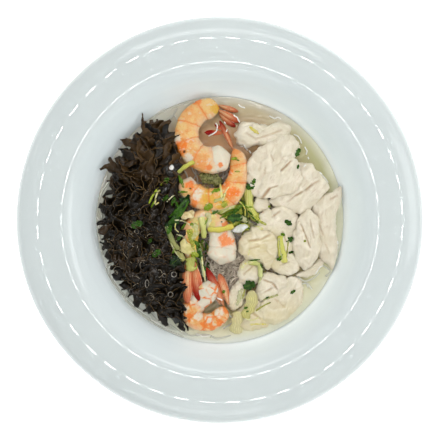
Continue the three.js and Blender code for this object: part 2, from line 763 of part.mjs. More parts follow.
// Short curls of vermicelli, each a round section swept along a bent path in the bare spot.
function nestStrands() {
  const draw = seeded(97);
  const round = new THREE.EllipseCurve(0, 0, NOODLE_THICKNESS / 2, NOODLE_THICKNESS / 2);
  const section = new THREE.Shape(round.getPoints(STRAND_SIDES).slice(0, STRAND_SIDES));
  const [cx, cy] = BARE_SPOT.centre;
  const [rx, ry] = BARE_SPOT.radii;
  return Array.from({ length: STRAND_COUNT }, (_, i) => {
    const start = (i / STRAND_COUNT) * 2 * Math.PI;
    const swing = 0.8 + draw() * 0.8;
    const points = [-1, -0.5, 0, 0.5, 1].map((step) => {
      const angle = start + step * swing;
      const share = 0.35 + 0.5 * Math.abs(Math.sin(angle * 1.5 + i));
      const rise = 1.1 * Math.cos(step * 1.57) + 0.1;
      return [cx + rx * share * Math.cos(angle), cy + ry * share * Math.sin(angle), NEST_TOP + rise];
    });
    const path = { steps: 7, extrudePath: curveThrough(points), bevelEnabled: false };
    return solid(new THREE.ExtrudeGeometry(section, path));
  });
}

// ---- Herb flakes --------------------------------------------------------------------------------

// Small flakes of leaf that stick to the chicken, fused to their slice: centre, size and turn.
const FLAKES = {
  chicken_7: [
    { centre: [45.6, -1.8, 40.8], size: [5.4, 3.6], turn: -0.6 },
    { centre: [46.6, -13.2, 40.2], size: [5.2, 3.6], turn: 0.7 },
  ],
  chicken_2: [{ centre: [51.4, 44.6, 40.6], size: [6.6, 4], turn: 0.9 }],
  chicken_13: [{ centre: [48.6, -48, 38.8], size: [4.2, 2.4], turn: 0.6 }],
};
const flake = ({ centre, size: [length, width], turn }, grow = 0) =>
  solid(
    new THREE.BoxGeometry(length + 2 * grow, width + 2 * grow, 1.6 + 2 * grow)
      .rotateX(0.12)
      .rotateZ(turn)
      .translate(...centre),
  );

// ---- Putting the bowl together ------------------------------------------------------------------

const COLOURS = {
  porcelain: { color: "#dbe4e3", roughness: 0.12 },
  broth: { color: "#b9a87c", roughness: 0.08 },
  vermicelli: { color: "#b5ab9c", roughness: 0.35 },
  wood_ear: { color: "#33241a", roughness: 0.35 },
  prawn: { color: "#f0b487", roughness: 0.35 },
  chicken: { color: "#e6dcc8", roughness: 0.5 },
  leek: { color: "#bcc257", roughness: 0.4 },
  leaf: { color: "#2f5a17", roughness: 0.5 },
  garlic: { color: "#d8cf9e", roughness: 0.5 },
};

const filledBowl = new THREE.Group();

function addNode(name, made, finish) {
  const material = new THREE.MeshStandardMaterial({ ...COLOURS[finish], metalness: 0, flatShading: true });
  const mesh = new THREE.Mesh(geometryOf(made), material);
  mesh.name = name;
  filledBowl.add(mesh);
}

// What lies on top comes first. Each piece is cut clear of the ones before it, which are kept GAP larger.
const laid = [];

function clearOfLaid(made) {
  const box = made.boundingBox();
  const meets = (other) =>
    [0, 1, 2].every((axis) => other.box.min[axis] < box.max[axis] && other.box.max[axis] > box.min[axis]);
  return laid.filter(meets).reduce((rest, other) => rest.subtract(other.grown), made);
}

function lay(name, finish, made, grown) {
  addNode(name, largest(clearOfLaid(made).intersect(wellSpace)), finish);
  laid.push({ grown, box: grown.boundingBox() });
}

addNode("bowl_base", bowlBase, "porcelain");
addNode("bowl_wall", bowlWall, "porcelain");
addNode("bowl_rim", bowlRim, "porcelain");
for (const piece of GARLIC) lay(piece.name, "garlic", garlicChip(piece), garlicChip(piece, GAP));
for (const piece of LEAVES) lay(piece.name, "leaf", leaf(piece), leaf(piece, GAP));
for (const piece of LEEK) lay(piece.name, "leek", leekStrip(piece), leekStrip(piece, GAP));
for (const piece of PRAWNS) lay(piece.name, "prawn", prawn(piece), prawn(piece, GAP));
for (const piece of CHICKEN) {
  const flakes = FLAKES[piece.name] ?? [];
  const made = joined([chickenSlice(piece), ...flakes.map((f) => flake(f))]);
  const grown = joined([chickenSlice(piece, GAP), ...flakes.map((f) => flake(f, GAP))]);
  lay(piece.name, "chicken", made, grown);
}
lay(
  "shredded_leek",
  "leek",
  joined([bedCore(), ...BED_SHREDS.map((s) => leekStrip(s))]),
  joined([bedCore(GAP), ...BED_SHREDS.map((s) => leekStrip(s, GAP))]),
);
const shreds = heapShreds();
lay(
  "wood_ear",
  "wood_ear",
  joined([heapCore(), ...shreds.map((s) => shred(s))]),
  joined([heapCore(GAP), ...shreds.map((s) => shred(s, GAP))]),
);
lay("vermicelli", "vermicelli", joined([nestCore(), ...nestStrands()]), nestCore(GAP));

// The broth fills what is left of the well up to its level.
const brothBody = solid(
  turned([
    ...WELL.slice(0, 4).map(([radius, height], i) => [i ? radius - GAP * 0.8 : 0, height + GAP]),
    [WELL[4][0] - GAP * 1.2, BROTH_LEVEL],
    [0, BROTH_LEVEL],
  ]),
);
addNode("broth", largest(clearOfLaid(brothBody)), "broth");

export default filledBowl;
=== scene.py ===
import math

import bpy
import numpy as np
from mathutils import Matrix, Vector, noise
from mathutils.bvhtree import BVHTree


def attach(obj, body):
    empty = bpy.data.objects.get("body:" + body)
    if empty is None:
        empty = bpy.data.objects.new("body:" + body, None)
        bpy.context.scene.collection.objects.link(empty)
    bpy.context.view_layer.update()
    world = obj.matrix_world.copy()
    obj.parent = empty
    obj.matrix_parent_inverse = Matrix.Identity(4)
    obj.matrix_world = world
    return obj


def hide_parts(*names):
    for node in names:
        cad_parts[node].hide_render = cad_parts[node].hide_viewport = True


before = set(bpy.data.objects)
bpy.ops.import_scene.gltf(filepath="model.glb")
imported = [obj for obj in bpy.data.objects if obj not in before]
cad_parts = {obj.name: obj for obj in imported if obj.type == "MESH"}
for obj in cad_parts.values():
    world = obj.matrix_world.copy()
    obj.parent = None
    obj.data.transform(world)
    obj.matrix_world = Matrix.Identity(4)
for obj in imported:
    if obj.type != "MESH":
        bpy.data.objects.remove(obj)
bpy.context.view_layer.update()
bpy.ops.object.select_all(action="DESELECT")

# ---- The bowl ------------------------------------------------------------------------------------
# A porcelain soup plate with a broad rim, cast in one piece and dipped in a faintly cool glaze. Its well is
# painted whiter, a shade more towards the near left and most just over the broth: painted light against the
# shade there.
# Its profile is drawn up as rings from the foot's recess, over the rim's crest and down into the well.
MM = 0.001
BOWL_STEPS = 256
RIM_RADIUS = 135.0
CREST = (115, 54)  # radius and height of the rim's highest ring
FACE_RINGS = (92, 133, 0.7)  # radii from the well's wall to the rounded edge, and their step
EDGE_RINGS = (133.2, 135.1, 0.25)  # the same, over the rounded edge
STEEPEST = 4  # limit of the face's slope

# How far the upper face leans out at each radius, in degrees. It rolls slowly over the shoulder at 104
# and over the crest, so that both carry a thin line of light.
LEAN = [(135.1, 88), (134.6, 72), (133.6, 52), (132, 39), (130, 30), (128, 22), (125.5, 14), (123, 8),
        (120.3, 3), (116, 0.7), (112, -1.6), (108, -3), (104.8, -4.4), (102.8, -10.8), (101.4, -18),
        (99.8, -27), (97.6, -38), (95, -46), (92, -51)]
WELL = [(83.2, 32), (77.5, 25.4), (72, 19.6), (67, 15.4), (63, 12.9), (58, 10.9), (50, 9.7), (30, 9.1),
        (10, 9), (1, 9)]
UNDERSIDE = [(1, 2.6), (20, 2.6), (43, 2.6), (44.6, 2.5), (45.4, 1.6), (45.9, 0.6), (46.4, 0.1), (47, 0),
             (51, 0), (51.7, 0.15), (52, 0.7), (52.1, 2), (52.6, 3.4), (54, 4.2), (58, 5.3), (64.5, 8.4),
             (71, 13.2), (76.5, 18.4), (82, 25), (89, 33.4), (96, 41.2), (101, 45.4), (106, 47.8),
             (112, 49), (117, 49.2), (122, 48.8), (127, 47.4), (131, 45.4), (133.2, 44.3), (134.4, 44.2)]


def tint(red, green, blue):
    """A colour as seen on a screen, 0 to 255, as the linear one that a shader takes."""
    return (*(((c / 255 + 0.055) / 1.055) ** 2.4 if c > 10 else c / 3295 for c in (red, green, blue)), 1)


class Wire:
    """A shader socket that takes part in sums. Each operator adds its Math node."""

    def __init__(self, tree, socket):
        self.tree = tree
        self.socket = socket

    def work(self, operation, *values, clamp=False):
        node = self.tree.nodes.new("ShaderNodeMath")
        node.operation = operation
        node.use_clamp = clamp
        for slot, value in zip(node.inputs, values):
            if isinstance(value, Wire):
                self.tree.links.new(value.socket, slot)
            else:
                slot.default_value = value
        return Wire(self.tree, node.outputs[0])

    def __add__(self, other):
        return self.work("ADD", self, other)

    def __sub__(self, other):
        return self.work("SUBTRACT", self, other)

    def __rsub__(self, other):
        return self.work("SUBTRACT", other, self)

    def __mul__(self, other):
        return self.work("MULTIPLY", self, other)

    def __truediv__(self, other):
        return self.work("DIVIDE", self, other)

    def __pow__(self, other):
        return self.work("POWER", self, other)

    __radd__ = __add__
    __rmul__ = __mul__

    def kept(self):
        """Held between 0 and 1."""
        return self.work("ADD", self, 0, clamp=True)

    def step(self, low, high):
        """0 below low, 1 above high, and even between them."""
        return ((self - low) / (high - low)).kept()

    def part(self):
        """What is left over from whole numbers."""
        return self.work("FRACT", self)

    def size(self):
        """Without its sign."""
        return self.work("ABSOLUTE", self)


class Nodes:
    """A tree of shader nodes that grows by one node at a time."""

    def __init__(self, tree):
        self.tree = tree

    def add(self, kind, settings=None, sockets=None, out=0):
        """Any node, by its type, its settings, and the values or links of its sockets."""
        node = self.tree.nodes.new(kind)
        for key, value in (settings or {}).items():
            if key == "stops":
                ramp = node.color_ramp
                while len(ramp.elements) < len(value):
                    ramp.elements.new(0.5)
                for stop, (place, colour) in zip(ramp.elements, value):
                    stop.position = place
                    stop.color = colour
            else:
                setattr(node, key, value)
        self.plug(node, sockets or {})
        return Wire(self.tree, node.outputs[out])

    def plug(self, node, sockets):
        for key, value in sockets.items():
            if isinstance(value, Wire):
                self.tree.links.new(value.socket, node.inputs[key])
            else:
                node.inputs[key].default_value = value

    def numbers(self, vector):
        """The three numbers of a vector."""
        return [self.add("ShaderNodeSeparateXYZ", sockets={0: vector}, out=i) for i in range(3)]


class Finish(Nodes):
    """A piece's material: a Principled shader and the nodes that feed it."""

    def __init__(self, name):
        self.material = bpy.data.materials.new(name)
        self.material.use_nodes = True
        super().__init__(self.material.node_tree)
        self.shader = self.tree.nodes["Principled BSDF"]

    def spot(self):
        """The place on the piece, in metres."""
        return self.add("ShaderNodeTexCoord", out=3)

    def lay(self, name="lay"):
        """The vector that the mesh keeps on its vertices under that name, as its three numbers."""
        return self.numbers(self.add("ShaderNodeAttribute", {"attribute_name": name}, out=1))

    def speckle(self, size, detail=2.0, rough=0.5, spot=None):
        """Cloudy noise with patches of that size in millimetres."""
        sockets = {"Vector": spot or self.spot(), "Scale": 1 / (size * MM), "Detail": detail,
                   "Roughness": rough}
        return self.add("ShaderNodeTexNoise", sockets=sockets)

    def mix(self, share, first, second):
        """The first colour where share is 0, the second where it is 1."""
        return self.add("ShaderNodeMix", {"data_type": "RGBA"}, {0: share, 6: first, 7: second}, out=2)

    def bump(self, height, depth):
        """A normal for a relief of that depth in millimetres where height goes from 0 to 1."""
        return self.add("ShaderNodeBump", sockets={"Height": height, "Distance": depth * MM})

    def dress(self, **sockets):
        self.plug(self.shader, {key.replace("_", " "): value for key, value in sockets.items()})
        return self


def mottled(name, size, detail, first, second, **sockets):
    """A finish that is cloudy between two colours."""
    finish = Finish(name)
    return finish.dress(Base_Color=finish.mix(finish.speckle(size, detail), first, second), **sockets)


def seat(piece, finish, slot, *nodes):
    """Gives a finished piece its material and its body, and hides the solids it stands for. Its slot is not
    used.
    """
    piece.data.materials.clear()
    piece.data.materials.append(finish.material)
    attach(piece, "root")
    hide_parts(*nodes)
    return piece


def upper_face():
    """The (radius, height) points that the LEAN table adds up to, from the rim's edge inwards."""
    radii, leans = np.array(LEAN[::-1]).T
    fine = np.concatenate([np.arange(*FACE_RINGS), np.arange(*EDGE_RINGS), [EDGE_RINGS[1]]])
    slope = -np.tan(np.radians(np.interp(fine, radii, leans)))
    slope = np.clip(slope, -STEEPEST, STEEPEST)
    rise = np.concatenate([[0], np.cumsum(np.diff(fine) * (slope[1:] + slope[:-1]) / 2)])
    rise += CREST[1] - np.interp(CREST[0], fine, rise)
    return [(min(r, RIM_RADIUS), z) for r, z in zip(fine[::-1], rise[::-1])]


profile = [*UNDERSIDE, *upper_face(), *WELL]
first_radius, first_height = profile[0]
bpy.ops.mesh.primitive_circle_add(vertices=BOWL_STEPS, radius=first_radius * MM, fill_type="TRIFAN",
                                  location=(0, 0, first_height * MM))
bowl = bpy.context.object
bowl.name = bowl.data.name = "soup_bowl"
bpy.ops.object.transform_apply(location=True)
bpy.ops.object.mode_set(mode="EDIT")
bpy.ops.mesh.select_all(action="SELECT")
bpy.ops.mesh.region_to_loop()
for (radius, height), (next_radius, next_height) in zip(profile, profile[1:]):
    bpy.ops.mesh.extrude_edges_move(
        TRANSFORM_OT_translate={"value": (0, 0, (next_height - height) * MM)})
    scale = next_radius / radius
    bpy.ops.transform.resize(value=(scale, scale, 1), center_override=(0, 0, 0))
bpy.ops.mesh.extrude_edges_move(TRANSFORM_OT_translate={"value": (0, 0, 0)})
bpy.ops.mesh.merge(type="CENTER")
bpy.ops.mesh.select_all(action="SELECT")
bpy.ops.mesh.normals_make_consistent(inside=False)
bpy.ops.object.mode_set(mode="OBJECT")
bpy.ops.object.shade_smooth()

glaze = Finish("porcelain_glaze")
cloud = glaze.speckle(38, 3)
orange_peel = glaze.speckle(6, 2)
x, y, _ = glaze.numbers(glaze.spot())
away = (x * x + y * y) ** 0.5
well = 1 - away.step(0.088, 0.104)  # over the wall, up to the shoulder
# Painted light: the wall is tinted paler, a shade more towards the near left, against the shade in the well.
well_painted_light = glaze.mix((y + x * 0.6).step(-0.07, 0.09), tint(221, 230, 231), tint(218, 229, 230))
low = 1 - away.step(0.0832, 0.088)  # just over the broth
# Painted light: palest just over the broth, against the shade along its edge.
well_painted_light = glaze.mix(low * 0.8, well_painted_light, tint(246, 253, 253))
glaze.dress(
    Base_Color=glaze.mix(well, glaze.mix(cloud, tint(191, 199, 199), tint(199, 207, 206)), well_painted_light),
    Roughness=0.015 + 0.015 * cloud,
    Normal=glaze.bump(orange_peel, 0.004),
)
seat(bowl, glaze, "porcelain", "bowl_base", "bowl_wall", "bowl_rim")

# ---- Vermicelli ----------------------------------------------------------------------------------
# Glass noodles, soaked until clear and grey, lie as a nest in the well under the toppings. A few strands
# have strayed along the broth's edge. Each is a round strand with blunt ends, and a core painted dark, as
# the shade under them, fills the nest.
NEST_CENTRE = (8, -1)
NEST_GAP = (7, -34)  # where the toppings leave the nest bare
NEST_RADIUS = 57
NEST_BASE, NEST_TOP = 11, 32.6
STRAND = 0.6  # half of a strand's thickness
STRAND_SIDES = 6
STRAND_STEPS = 46
STRAND_STEP = 1.1  # length of one of its steps
CURVE_STEPS = 30  # steps from one point of a smooth curve to the next
# The strands that strayed, each by its path.
LOOSE_STRANDS = [
    [(-50, 55, 34), (-43, 67, 32.6), (-37.5, 65.4, 32.4), (-33, 68.4, 32.4), (-28.5, 75.5, 32.6)],
    [(-47, 62, 34.6), (-44, 69.6, 33.2), (-37, 73.6, 33), (-27, 77.4, 32.6), (-12, 81.4, 32.6)],
    [(-44, 57, 36), (-36, 67, 32.4), (-31, 70.5, 32.3), (-28, 66, 32.8), (-24, 62, 33.6)],
    [(-70, 24, 36), (-77, 15, 33.6), (-79.6, 4, 33.2), (-79, -6, 33.2), (-75, -16, 34)],
    [(-73, 28, 36), (-80, 17, 33), (-82.4, 4, 33.4), (-81.8, -8, 33.2), (-78.6, -24, 32.6)],
    [(-66, -30, 35), (-74, -34, 32.8), (-70, -44, 32.4), (-61, -53, 32.4), (-50, -63, 32.4)],
    [(-72, -28, 34), (-76.6, -33, 32.8), (-71, -43.4, 32.6), (-60, -57, 32.6), (-46, -67.6, 32.5)],
    [(-58, -50, 35), (-57, -57, 32.6), (-48, -63, 32.4), (-38, -70.4, 32.4), (-27, -75, 32.4)],
    [(-50, -58, 34), (-43, -66.6, 32.4), (-33, -71, 32.6), (-24, -76.8, 32.4), (-14, -78, 32.4)],
    [(-62, -48, 35), (-64, -52.6, 32.8), (-54, -62.6, 32.6), (-41, -71.6, 32.6), (-24, -79, 32.6)],
    [(-30, -70, 34), (-20, -77.6, 32.5), (-9, -77, 32.5), (-2, -79.6, 32.4), (8, -77.4, 32.4)],
    [(5, -62, 36.4), (8.6, -65.6, 35.4), (13.6, -61.6, 35.4), (9, -68.6, 34), (2, -73, 32.6)],
    [(66, -29, 34.6), (70, -31, 33.4), (74.4, -34.6, 32.8), (71, -38, 32.5)],
    [(52, -38, 36.6), (57, -41, 34.6), (63, -39, 33.4), (67.4, -35, 33)],
    [(54, -43, 35.4), (58.6, -42.6, 34.4), (62, -46.6, 32.8)],
]


def smooth_line(points, closed=False, steps=400):
    """Even places along the smooth curve through the points, the closed one's last place the first."""
    knots = np.array(points, float)
    if knots.shape[1] == 2:
        knots = np.c_[knots, np.zeros(len(knots))]
    if closed:
        knots = np.vstack([knots[-1:], knots, knots[:2]])
    else:
        knots = np.vstack([2 * knots[0] - knots[1], knots, 2 * knots[-1] - knots[-2]])
    line = []
    for a, b, c, d in zip(knots, knots[1:], knots[2:], knots[3:]):
        t1 = np.linalg.norm(b - a) ** 0.5
        t2 = t1 + np.linalg.norm(c - b) ** 0.5
        t3 = t2 + np.linalg.norm(d - c) ** 0.5
        t = np.linspace(t1, t2, CURVE_STEPS, endpoint=False)[:, None]
        ab = a + (b - a) * t / t1
        bc = b + (c - b) * (t - t1) / (t2 - t1)
        cd = c + (d - c) * (t - t2) / (t3 - t2)
        abc, bcd = ab + (bc - ab) * t / t2, bc + (cd - bc) * (t - t1) / (t3 - t1)
        line.append(abc + (bcd - abc) * (t - t1) / (t2 - t1))
    line = np.vstack([*line, knots[-2:-1]])
    reach = np.concatenate([[0], np.cumsum(np.linalg.norm(np.diff(line, axis=0), axis=1))])
    even = np.linspace(0, reach[-1], steps)
    return np.stack([np.interp(even, reach, line[:, k]) for k in range(3)], axis=1)


def unit(vectors):
    """The vectors at a length of 1."""
    return vectors / np.maximum(np.linalg.norm(vectors, axis=-1, keepdims=True), 1e-9)


def at(line, share):
    """The places at those shares of a line's length."""
    even = np.linspace(0, 1, len(line))
    return np.stack([np.interp(share, even, line[:, k]) for k in range(3)], axis=-1)


def strand(line, half):
    """A round strand along a line: (points, quads, lay)."""
    sides = STRAND_SIDES
    along = unit(np.gradient(line, axis=0))
    across = unit(np.cross(along, [0.12, 0.07, 1]))
    up = np.cross(across, along)
    share = np.linspace(0, 1, len(line))
    girth = half * np.clip(np.minimum(share, 1 - share) * len(line) * 0.7 + 0.25, 0, 1)
    turn = np.arange(sides) / sides * 2 * np.pi
    rings = (line[:, None] + across[:, None] * np.cos(turn)[None, :, None] * girth[:, None, None]
             + up[:, None] * np.sin(turn)[None, :, None] * girth[:, None, None])
    ring, side = np.meshgrid(np.arange(len(line) - 1), np.arange(sides), indexing="ij")
    near, far = ring * sides, (ring + 1) * sides
    after = (side + 1) % sides
    quads = np.stack([near + side, far + side, far + after, near + after], axis=-1).reshape(-1, 4)
    last = (len(line) - 1) * sides
    caps = [[0, 1, 2, 3], [0, 3, 4, 5],
            [last + 3, last + 2, last + 1, last], [last + 5, last + 4, last + 3, last]]
    lay = np.stack([np.repeat(share, sides), np.tile(turn / (2 * np.pi), len(line))], axis=-1)
    return rings.reshape(-1, 3), np.vstack([quads, caps]), lay


def corners_of(mesh):
    """The places of a mesh's vertices, in metres."""
    spots = np.empty(len(mesh.vertices) * 3)
    mesh.vertices.foreach_get("co", spots)
    return spots.reshape(-1, 3)


def keep(mesh, name, vectors):
    """Keeps a vector on each vertex for the material."""
    mesh.attributes.new(name, "FLOAT_VECTOR", "POINT").data.foreach_set("vector", np.ravel(vectors))


def gathered(name, parts, shade=None):
    """One mesh of many closed parts. Each vertex keeps its (u, v) on its part and the part's own shade."""
    points = np.vstack([p for p, _, _ in parts]) * MM
    starts = np.cumsum([0, *(len(p) for p, _, _ in parts[:-1])])
    quads = np.vstack([q + start for (_, q, _), start in zip(parts, starts)])
    draws = np.random.default_rng(len(parts)).random(len(parts)) if shade is None else np.array(shade)
    lay = np.vstack([np.c_[l, np.full(len(l), draw)] for (_, _, l), draw in zip(parts, draws)])
    mesh = bpy.data.meshes.new(name)
    mesh.from_pydata(points.tolist(), [], quads.tolist())
    keep(mesh, "lay", lay)
    piece = bpy.data.objects.new(name, mesh)
    bpy.context.scene.collection.objects.link(piece)
    bpy.ops.object.select_all(action="DESELECT")
    bpy.context.view_layer.objects.active = piece
    piece.select_set(True)
    bpy.ops.object.shade_smooth()
    return piece


def ball(name, steps, rings, place):
    """A closed round form: a sphere whose vertices go to place(u, v), u round it, v from pole to pole."""
    bpy.ops.object.select_all(action="DESELECT")
    bpy.ops.mesh.primitive_uv_sphere_add(segments=steps, ring_count=rings, radius=1, location=(0, 0, 0))
    piece = bpy.context.object
    piece.name = piece.data.name = name
    x, y, z = corners_of(piece.data).T
    u = np.arctan2(y, x) / (2 * np.pi) % 1
    v = np.arccos(np.clip(z, -1, 1)) / np.pi
    v = np.where(np.hypot(x, y) < 1e-5, np.round(v), v)
    piece.data.vertices.foreach_set("co", (place(u, v) * MM).ravel())
    keep(piece.data, "lay", np.stack([np.cos(2 * np.pi * u), np.sin(2 * np.pi * u), v], axis=1))
    bpy.ops.object.mode_set(mode="EDIT")
    bpy.ops.mesh.select_all(action="SELECT")
    bpy.ops.mesh.normals_make_consistent(inside=False)
    bpy.ops.object.mode_set(mode="OBJECT")
    bpy.ops.object.shade_smooth()
    return piece


def relief(points, size, seed):
    """Smooth noise from -1 to 1 at points in millimetres, with bumps of that size."""
    shift = Vector((seed * 7.3, seed * 3.1, seed * 5.7))
    return np.array([noise.noise(Vector(p) / size + shift) for p in points])


def nest_core(u, v):
    """The form of the core, for ball(): a flat-topped cushion a little inside the strands."""
    base, top = NEST_BASE + 0.2, NEST_TOP - 0.9
    reach = np.sin(np.pi * v) ** 0.35 * (NEST_RADIUS - 0.8) * (v > 0) * (v < 1)
    share = (1 + np.cos(np.pi * v)) / 2
    height = base + (top - base) * share ** 0.3
    turn = 2 * np.pi * u
    x, y = NEST_CENTRE[0] + reach * np.cos(turn), NEST_CENTRE[1] + reach * np.sin(turn)
    return np.stack([x, y, height], axis=1)


def nest_strands(count, centre, radius, seed):
    """Strands that wander over the nest and steer back when they leave their round patch of it."""
    draw = np.random.default_rng(seed)
    lines = []
    for _ in range(count):
        x, y = draw.normal(0, 0.45, 2) * radius
        heading = draw.random() * 2 * np.pi
        bend, wave, phase = draw.normal(0, 0.07), 0.05 + 0.13 * draw.random(), draw.random() * 6
        layer = 1.5 * draw.random() ** 1.4
        line = []
        for step in range(STRAND_STEPS):
            out = math.hypot(x, y) / radius
            home = math.atan2(-y, -x)
            pull = math.sin(home - heading) * max(out - 0.75, 0) * 1.3
            heading += bend + 0.16 * math.sin(wave * step * 4 + phase) + pull
            x += STRAND_STEP * math.cos(heading)
            y += STRAND_STEP * math.sin(heading)
            px, py = x + centre[0], y + centre[1]
            far = math.hypot(px - NEST_CENTRE[0], py - NEST_CENTRE[1]) / NEST_RADIUS
            top = NEST_BASE + (NEST_TOP - NEST_BASE) * max(1 - min(far, 1) ** 9, 0) ** 0.3
            line.append((px, py, top + layer * 0.8 + 0.35 * math.sin(step * 0.5 + phase * 3)))
        lines.append(np.array(line))
    return lines


core_finish = mottled("vermicelli_shadow", 3, 2, tint(62, 54, 42), tint(104, 94, 78), Roughness=0.5)
seat(ball("vermicelli_core", 64, 24, nest_core), core_finish, "vermicelli", "vermicelli")

lines = nest_strands(85, NEST_CENTRE, 50, 5) + nest_strands(70, NEST_GAP, 13, 8)
shades = np.random.default_rng(3).random(len(lines)) * 0.9
lines += [smooth_line(points, steps=STRAND_STEPS) for points in LOOSE_STRANDS]
shades = [*shades, *np.ones(len(LOOSE_STRANDS))]  # a shade of 1 marks a loose strand
nest = gathered("vermicelli_strands", [strand(line, STRAND) for line in lines], shades)
noodle = Finish("vermicelli_strand")
own = noodle.lay()[2]
streak = noodle.speckle(3, 2)
grey = noodle.mix((own * 1.1 + streak * 0.3 - 0.15).kept(), tint(104, 93, 76), tint(216, 203, 182))
# Loose strands are paler: partly their own pale colour, partly painted highlight along the broth's edge.
stray = own.step(0.95, 0.99)
noodle.dress(
    Base_Color=noodle.mix(stray, grey, tint(222, 222, 208)),
    Roughness=0.14 + 0.12 * streak,
    Alpha=0.8 + 0.2 * streak - 0.35 * stray,
)
seat(nest, noodle, "vermicelli", "vermicelli")

# ---- Wood ear ------------------------------------------------------------------------------------
# Soaked wood ear mushroom, torn and cut into ruffled shreds and heaped on the left. The shreds are thin, wet
# and brown, paler at their torn edges, partly as painted highlight, and lie in all directions over a core
# painted dark as the shade under them. Broader smooth pieces lie on top, with pale curled threads that are
# painted highlights on the wet edges.
HEAP_OUTLINE = [(-48, 62), (-38, 61), (-32, 55), (-29, 46), (-27, 36), (-30, 24), (-25, 12), (-25, 2),
                (-28, -8), (-27, -24), (-26.5, -40), (-26, -56), (-25, -68), (-38, -63), (-51, -56),
                (-61, -46), (-69, -34), (-74, -18), (-75.5, 0), (-73, 16), (-70, 32), (-63, 46), (-55, 52)]
HEAP_MIDDLE = (-52, 2)
HEAP_BASE, HEAP_EDGE, HEAP_TOP = 26, 36, 42.6
HEAP_REACH, HEAP_SLOPE = 84, 26  # the radius of its low outer side, and how far it climbs inwards from there
SHRED_THICKNESS, SMOOTH_THICKNESS = 0.6, 0.9
SHRED_STEPS = 15
WELL_FACE = ([70, 80, 92], [20, 30, 44])  # radii, and the lowest that a shred may lie there
TRIES = 9000  # places drawn for shreds, most of them too close to others
# Shreds that reach out of the heap: the tip, the way it points, and the shred's length and width.
HEAP_TIPS = [
    (-51.6, 71.4, 41, 1.95, 17, 3), (-50, 66, 41, 1.75, 15, 8), (-42, 67.4, 39.6, 1.2, 15, 9),
    (-37.4, 66, 39, 0.6, 14, 7), (-66.4, 53.6, 42, 2.5, 15, 7), (-73.2, 42, 41.6, 2.4, 16, 7),
    (-79.8, 33.6, 42, 2.95, 15, 5), (-77.4, 16, 39.8, 3.5, 15, 6), (-82.3, -3, 39.6, 3.3, 17, 7),
    (-80.4, -14.5, 39, 3, 14, 4), (-66.5, -44, 37.6, 3.6, 14, 6), (-61.5, -51.6, 37.4, 4.2, 14, 5),
    (-28, -72, 36.4, 4.6, 15, 6), (-21.4, -74.4, 34.8, 5.2, 15, 4), (-34.6, -65.6, 37, 4.1, 13, 5),
    (-75.6, 26, 39, 3.1, 13, 6), (-70.6, -36.4, 37.6, 3.7, 13, 6), (-46.6, -60.6, 37, 4.2, 13, 6),
    (-56.6, 57.6, 41, 2.2, 14, 6), (-78.4, -20, 38, 3.3, 12, 7), (-75, -29, 37.4, 3.6, 12, 7),
    (-66, -46.6, 37, 3.9, 12, 7), (-57.6, -56, 36.6, 3.9, 12, 7), (-51.6, -61, 36.4, 4.0, 12, 6),
    (-40.6, -67.6, 36.2, 4.3, 12, 6), (-79.6, 6, 38.6, 3.0, 12, 6), (-77.4, -9, 39, 3.2, 11, 6),
]


def ease(t):
    """A quarter wave: 0 up to 0, 1 from 1 on."""
    return np.sin(np.clip(t, 0, 1) * np.pi / 2)


def heap_height(x, y):
    """How high the heap reaches over a place, from its low outer side up to its top."""
    return HEAP_EDGE + (HEAP_TOP - HEAP_EDGE) * ease((HEAP_REACH - np.hypot(x, y)) / HEAP_SLOPE)


def heap_core(u, v):
    """The form of the core, for ball(): the outline drawn together to a crown and to a base."""
    edge = at(heap_edge, u)
    middle = np.array([*HEAP_MIDDLE, 0])
    reach = np.sin(np.pi * v) ** 0.5 * (v > 0) * (v < 1) * 0.97
    spot = middle + (edge - middle) * reach[:, None]
    share = (1 + np.cos(np.pi * v)) / 2
    top = heap_height(spot[:, 0], spot[:, 1]) - 1.2
    height = HEAP_BASE + (top - HEAP_BASE) * share ** 0.7
    spot[:, 2] = height + 1.3 * relief(np.c_[spot[:, :2], height], 7, 3) * np.sin(np.pi * v)
    return spot


def inside(outline, x, y):
    """Whether a place is within an outline seen from above."""
    crossings = 0
    for (x1, y1), (x2, y2) in zip(outline, outline[1:] + outline[:1]):
        if (y1 > y) != (y2 > y) and x < x1 + (y - y1) / (y2 - y1) * (x2 - x1):
            crossings += 1
    return crossings % 2 == 1


def sheet(grid, thickness):
    """A thin closed sheet about a grid of places, both faces alike: (points, quads, lay)."""
    rows, columns = grid.shape[:2]
    face = unit(np.cross(np.gradient(grid, axis=0), np.gradient(grid, axis=1)))
    u, v = np.meshgrid(np.linspace(0, 1, rows), np.linspace(0, 1, columns), indexing="ij")
    thin = thickness / 2 * (0.35 + 0.65 * np.clip(4 * np.minimum(v, 1 - v), 0, 1))[..., None]
    points = np.vstack([(grid + face * thin).reshape(-1, 3), (grid - face * thin).reshape(-1, 3)])
    corner = np.arange(rows * columns).reshape(rows, columns)
    upper = np.stack([corner[:-1, :-1], corner[1:, :-1], corner[1:, 1:], corner[:-1, 1:]], axis=-1)
    upper = upper.reshape(-1, 4)
    lower = upper[:, ::-1] + rows * columns
    rim = np.concatenate([corner[:-1, 0], corner[-1, :-1], corner[:0:-1, -1], corner[0, :0:-1]])
    after = np.roll(rim, -1)
    wall = np.stack([after, rim, rim + rows * columns, after + rows * columns], axis=-1)
    lay = np.tile(np.stack([u.ravel(), v.ravel()], axis=-1), (2, 1))
    return points, np.vstack([upper, lower, wall]), lay


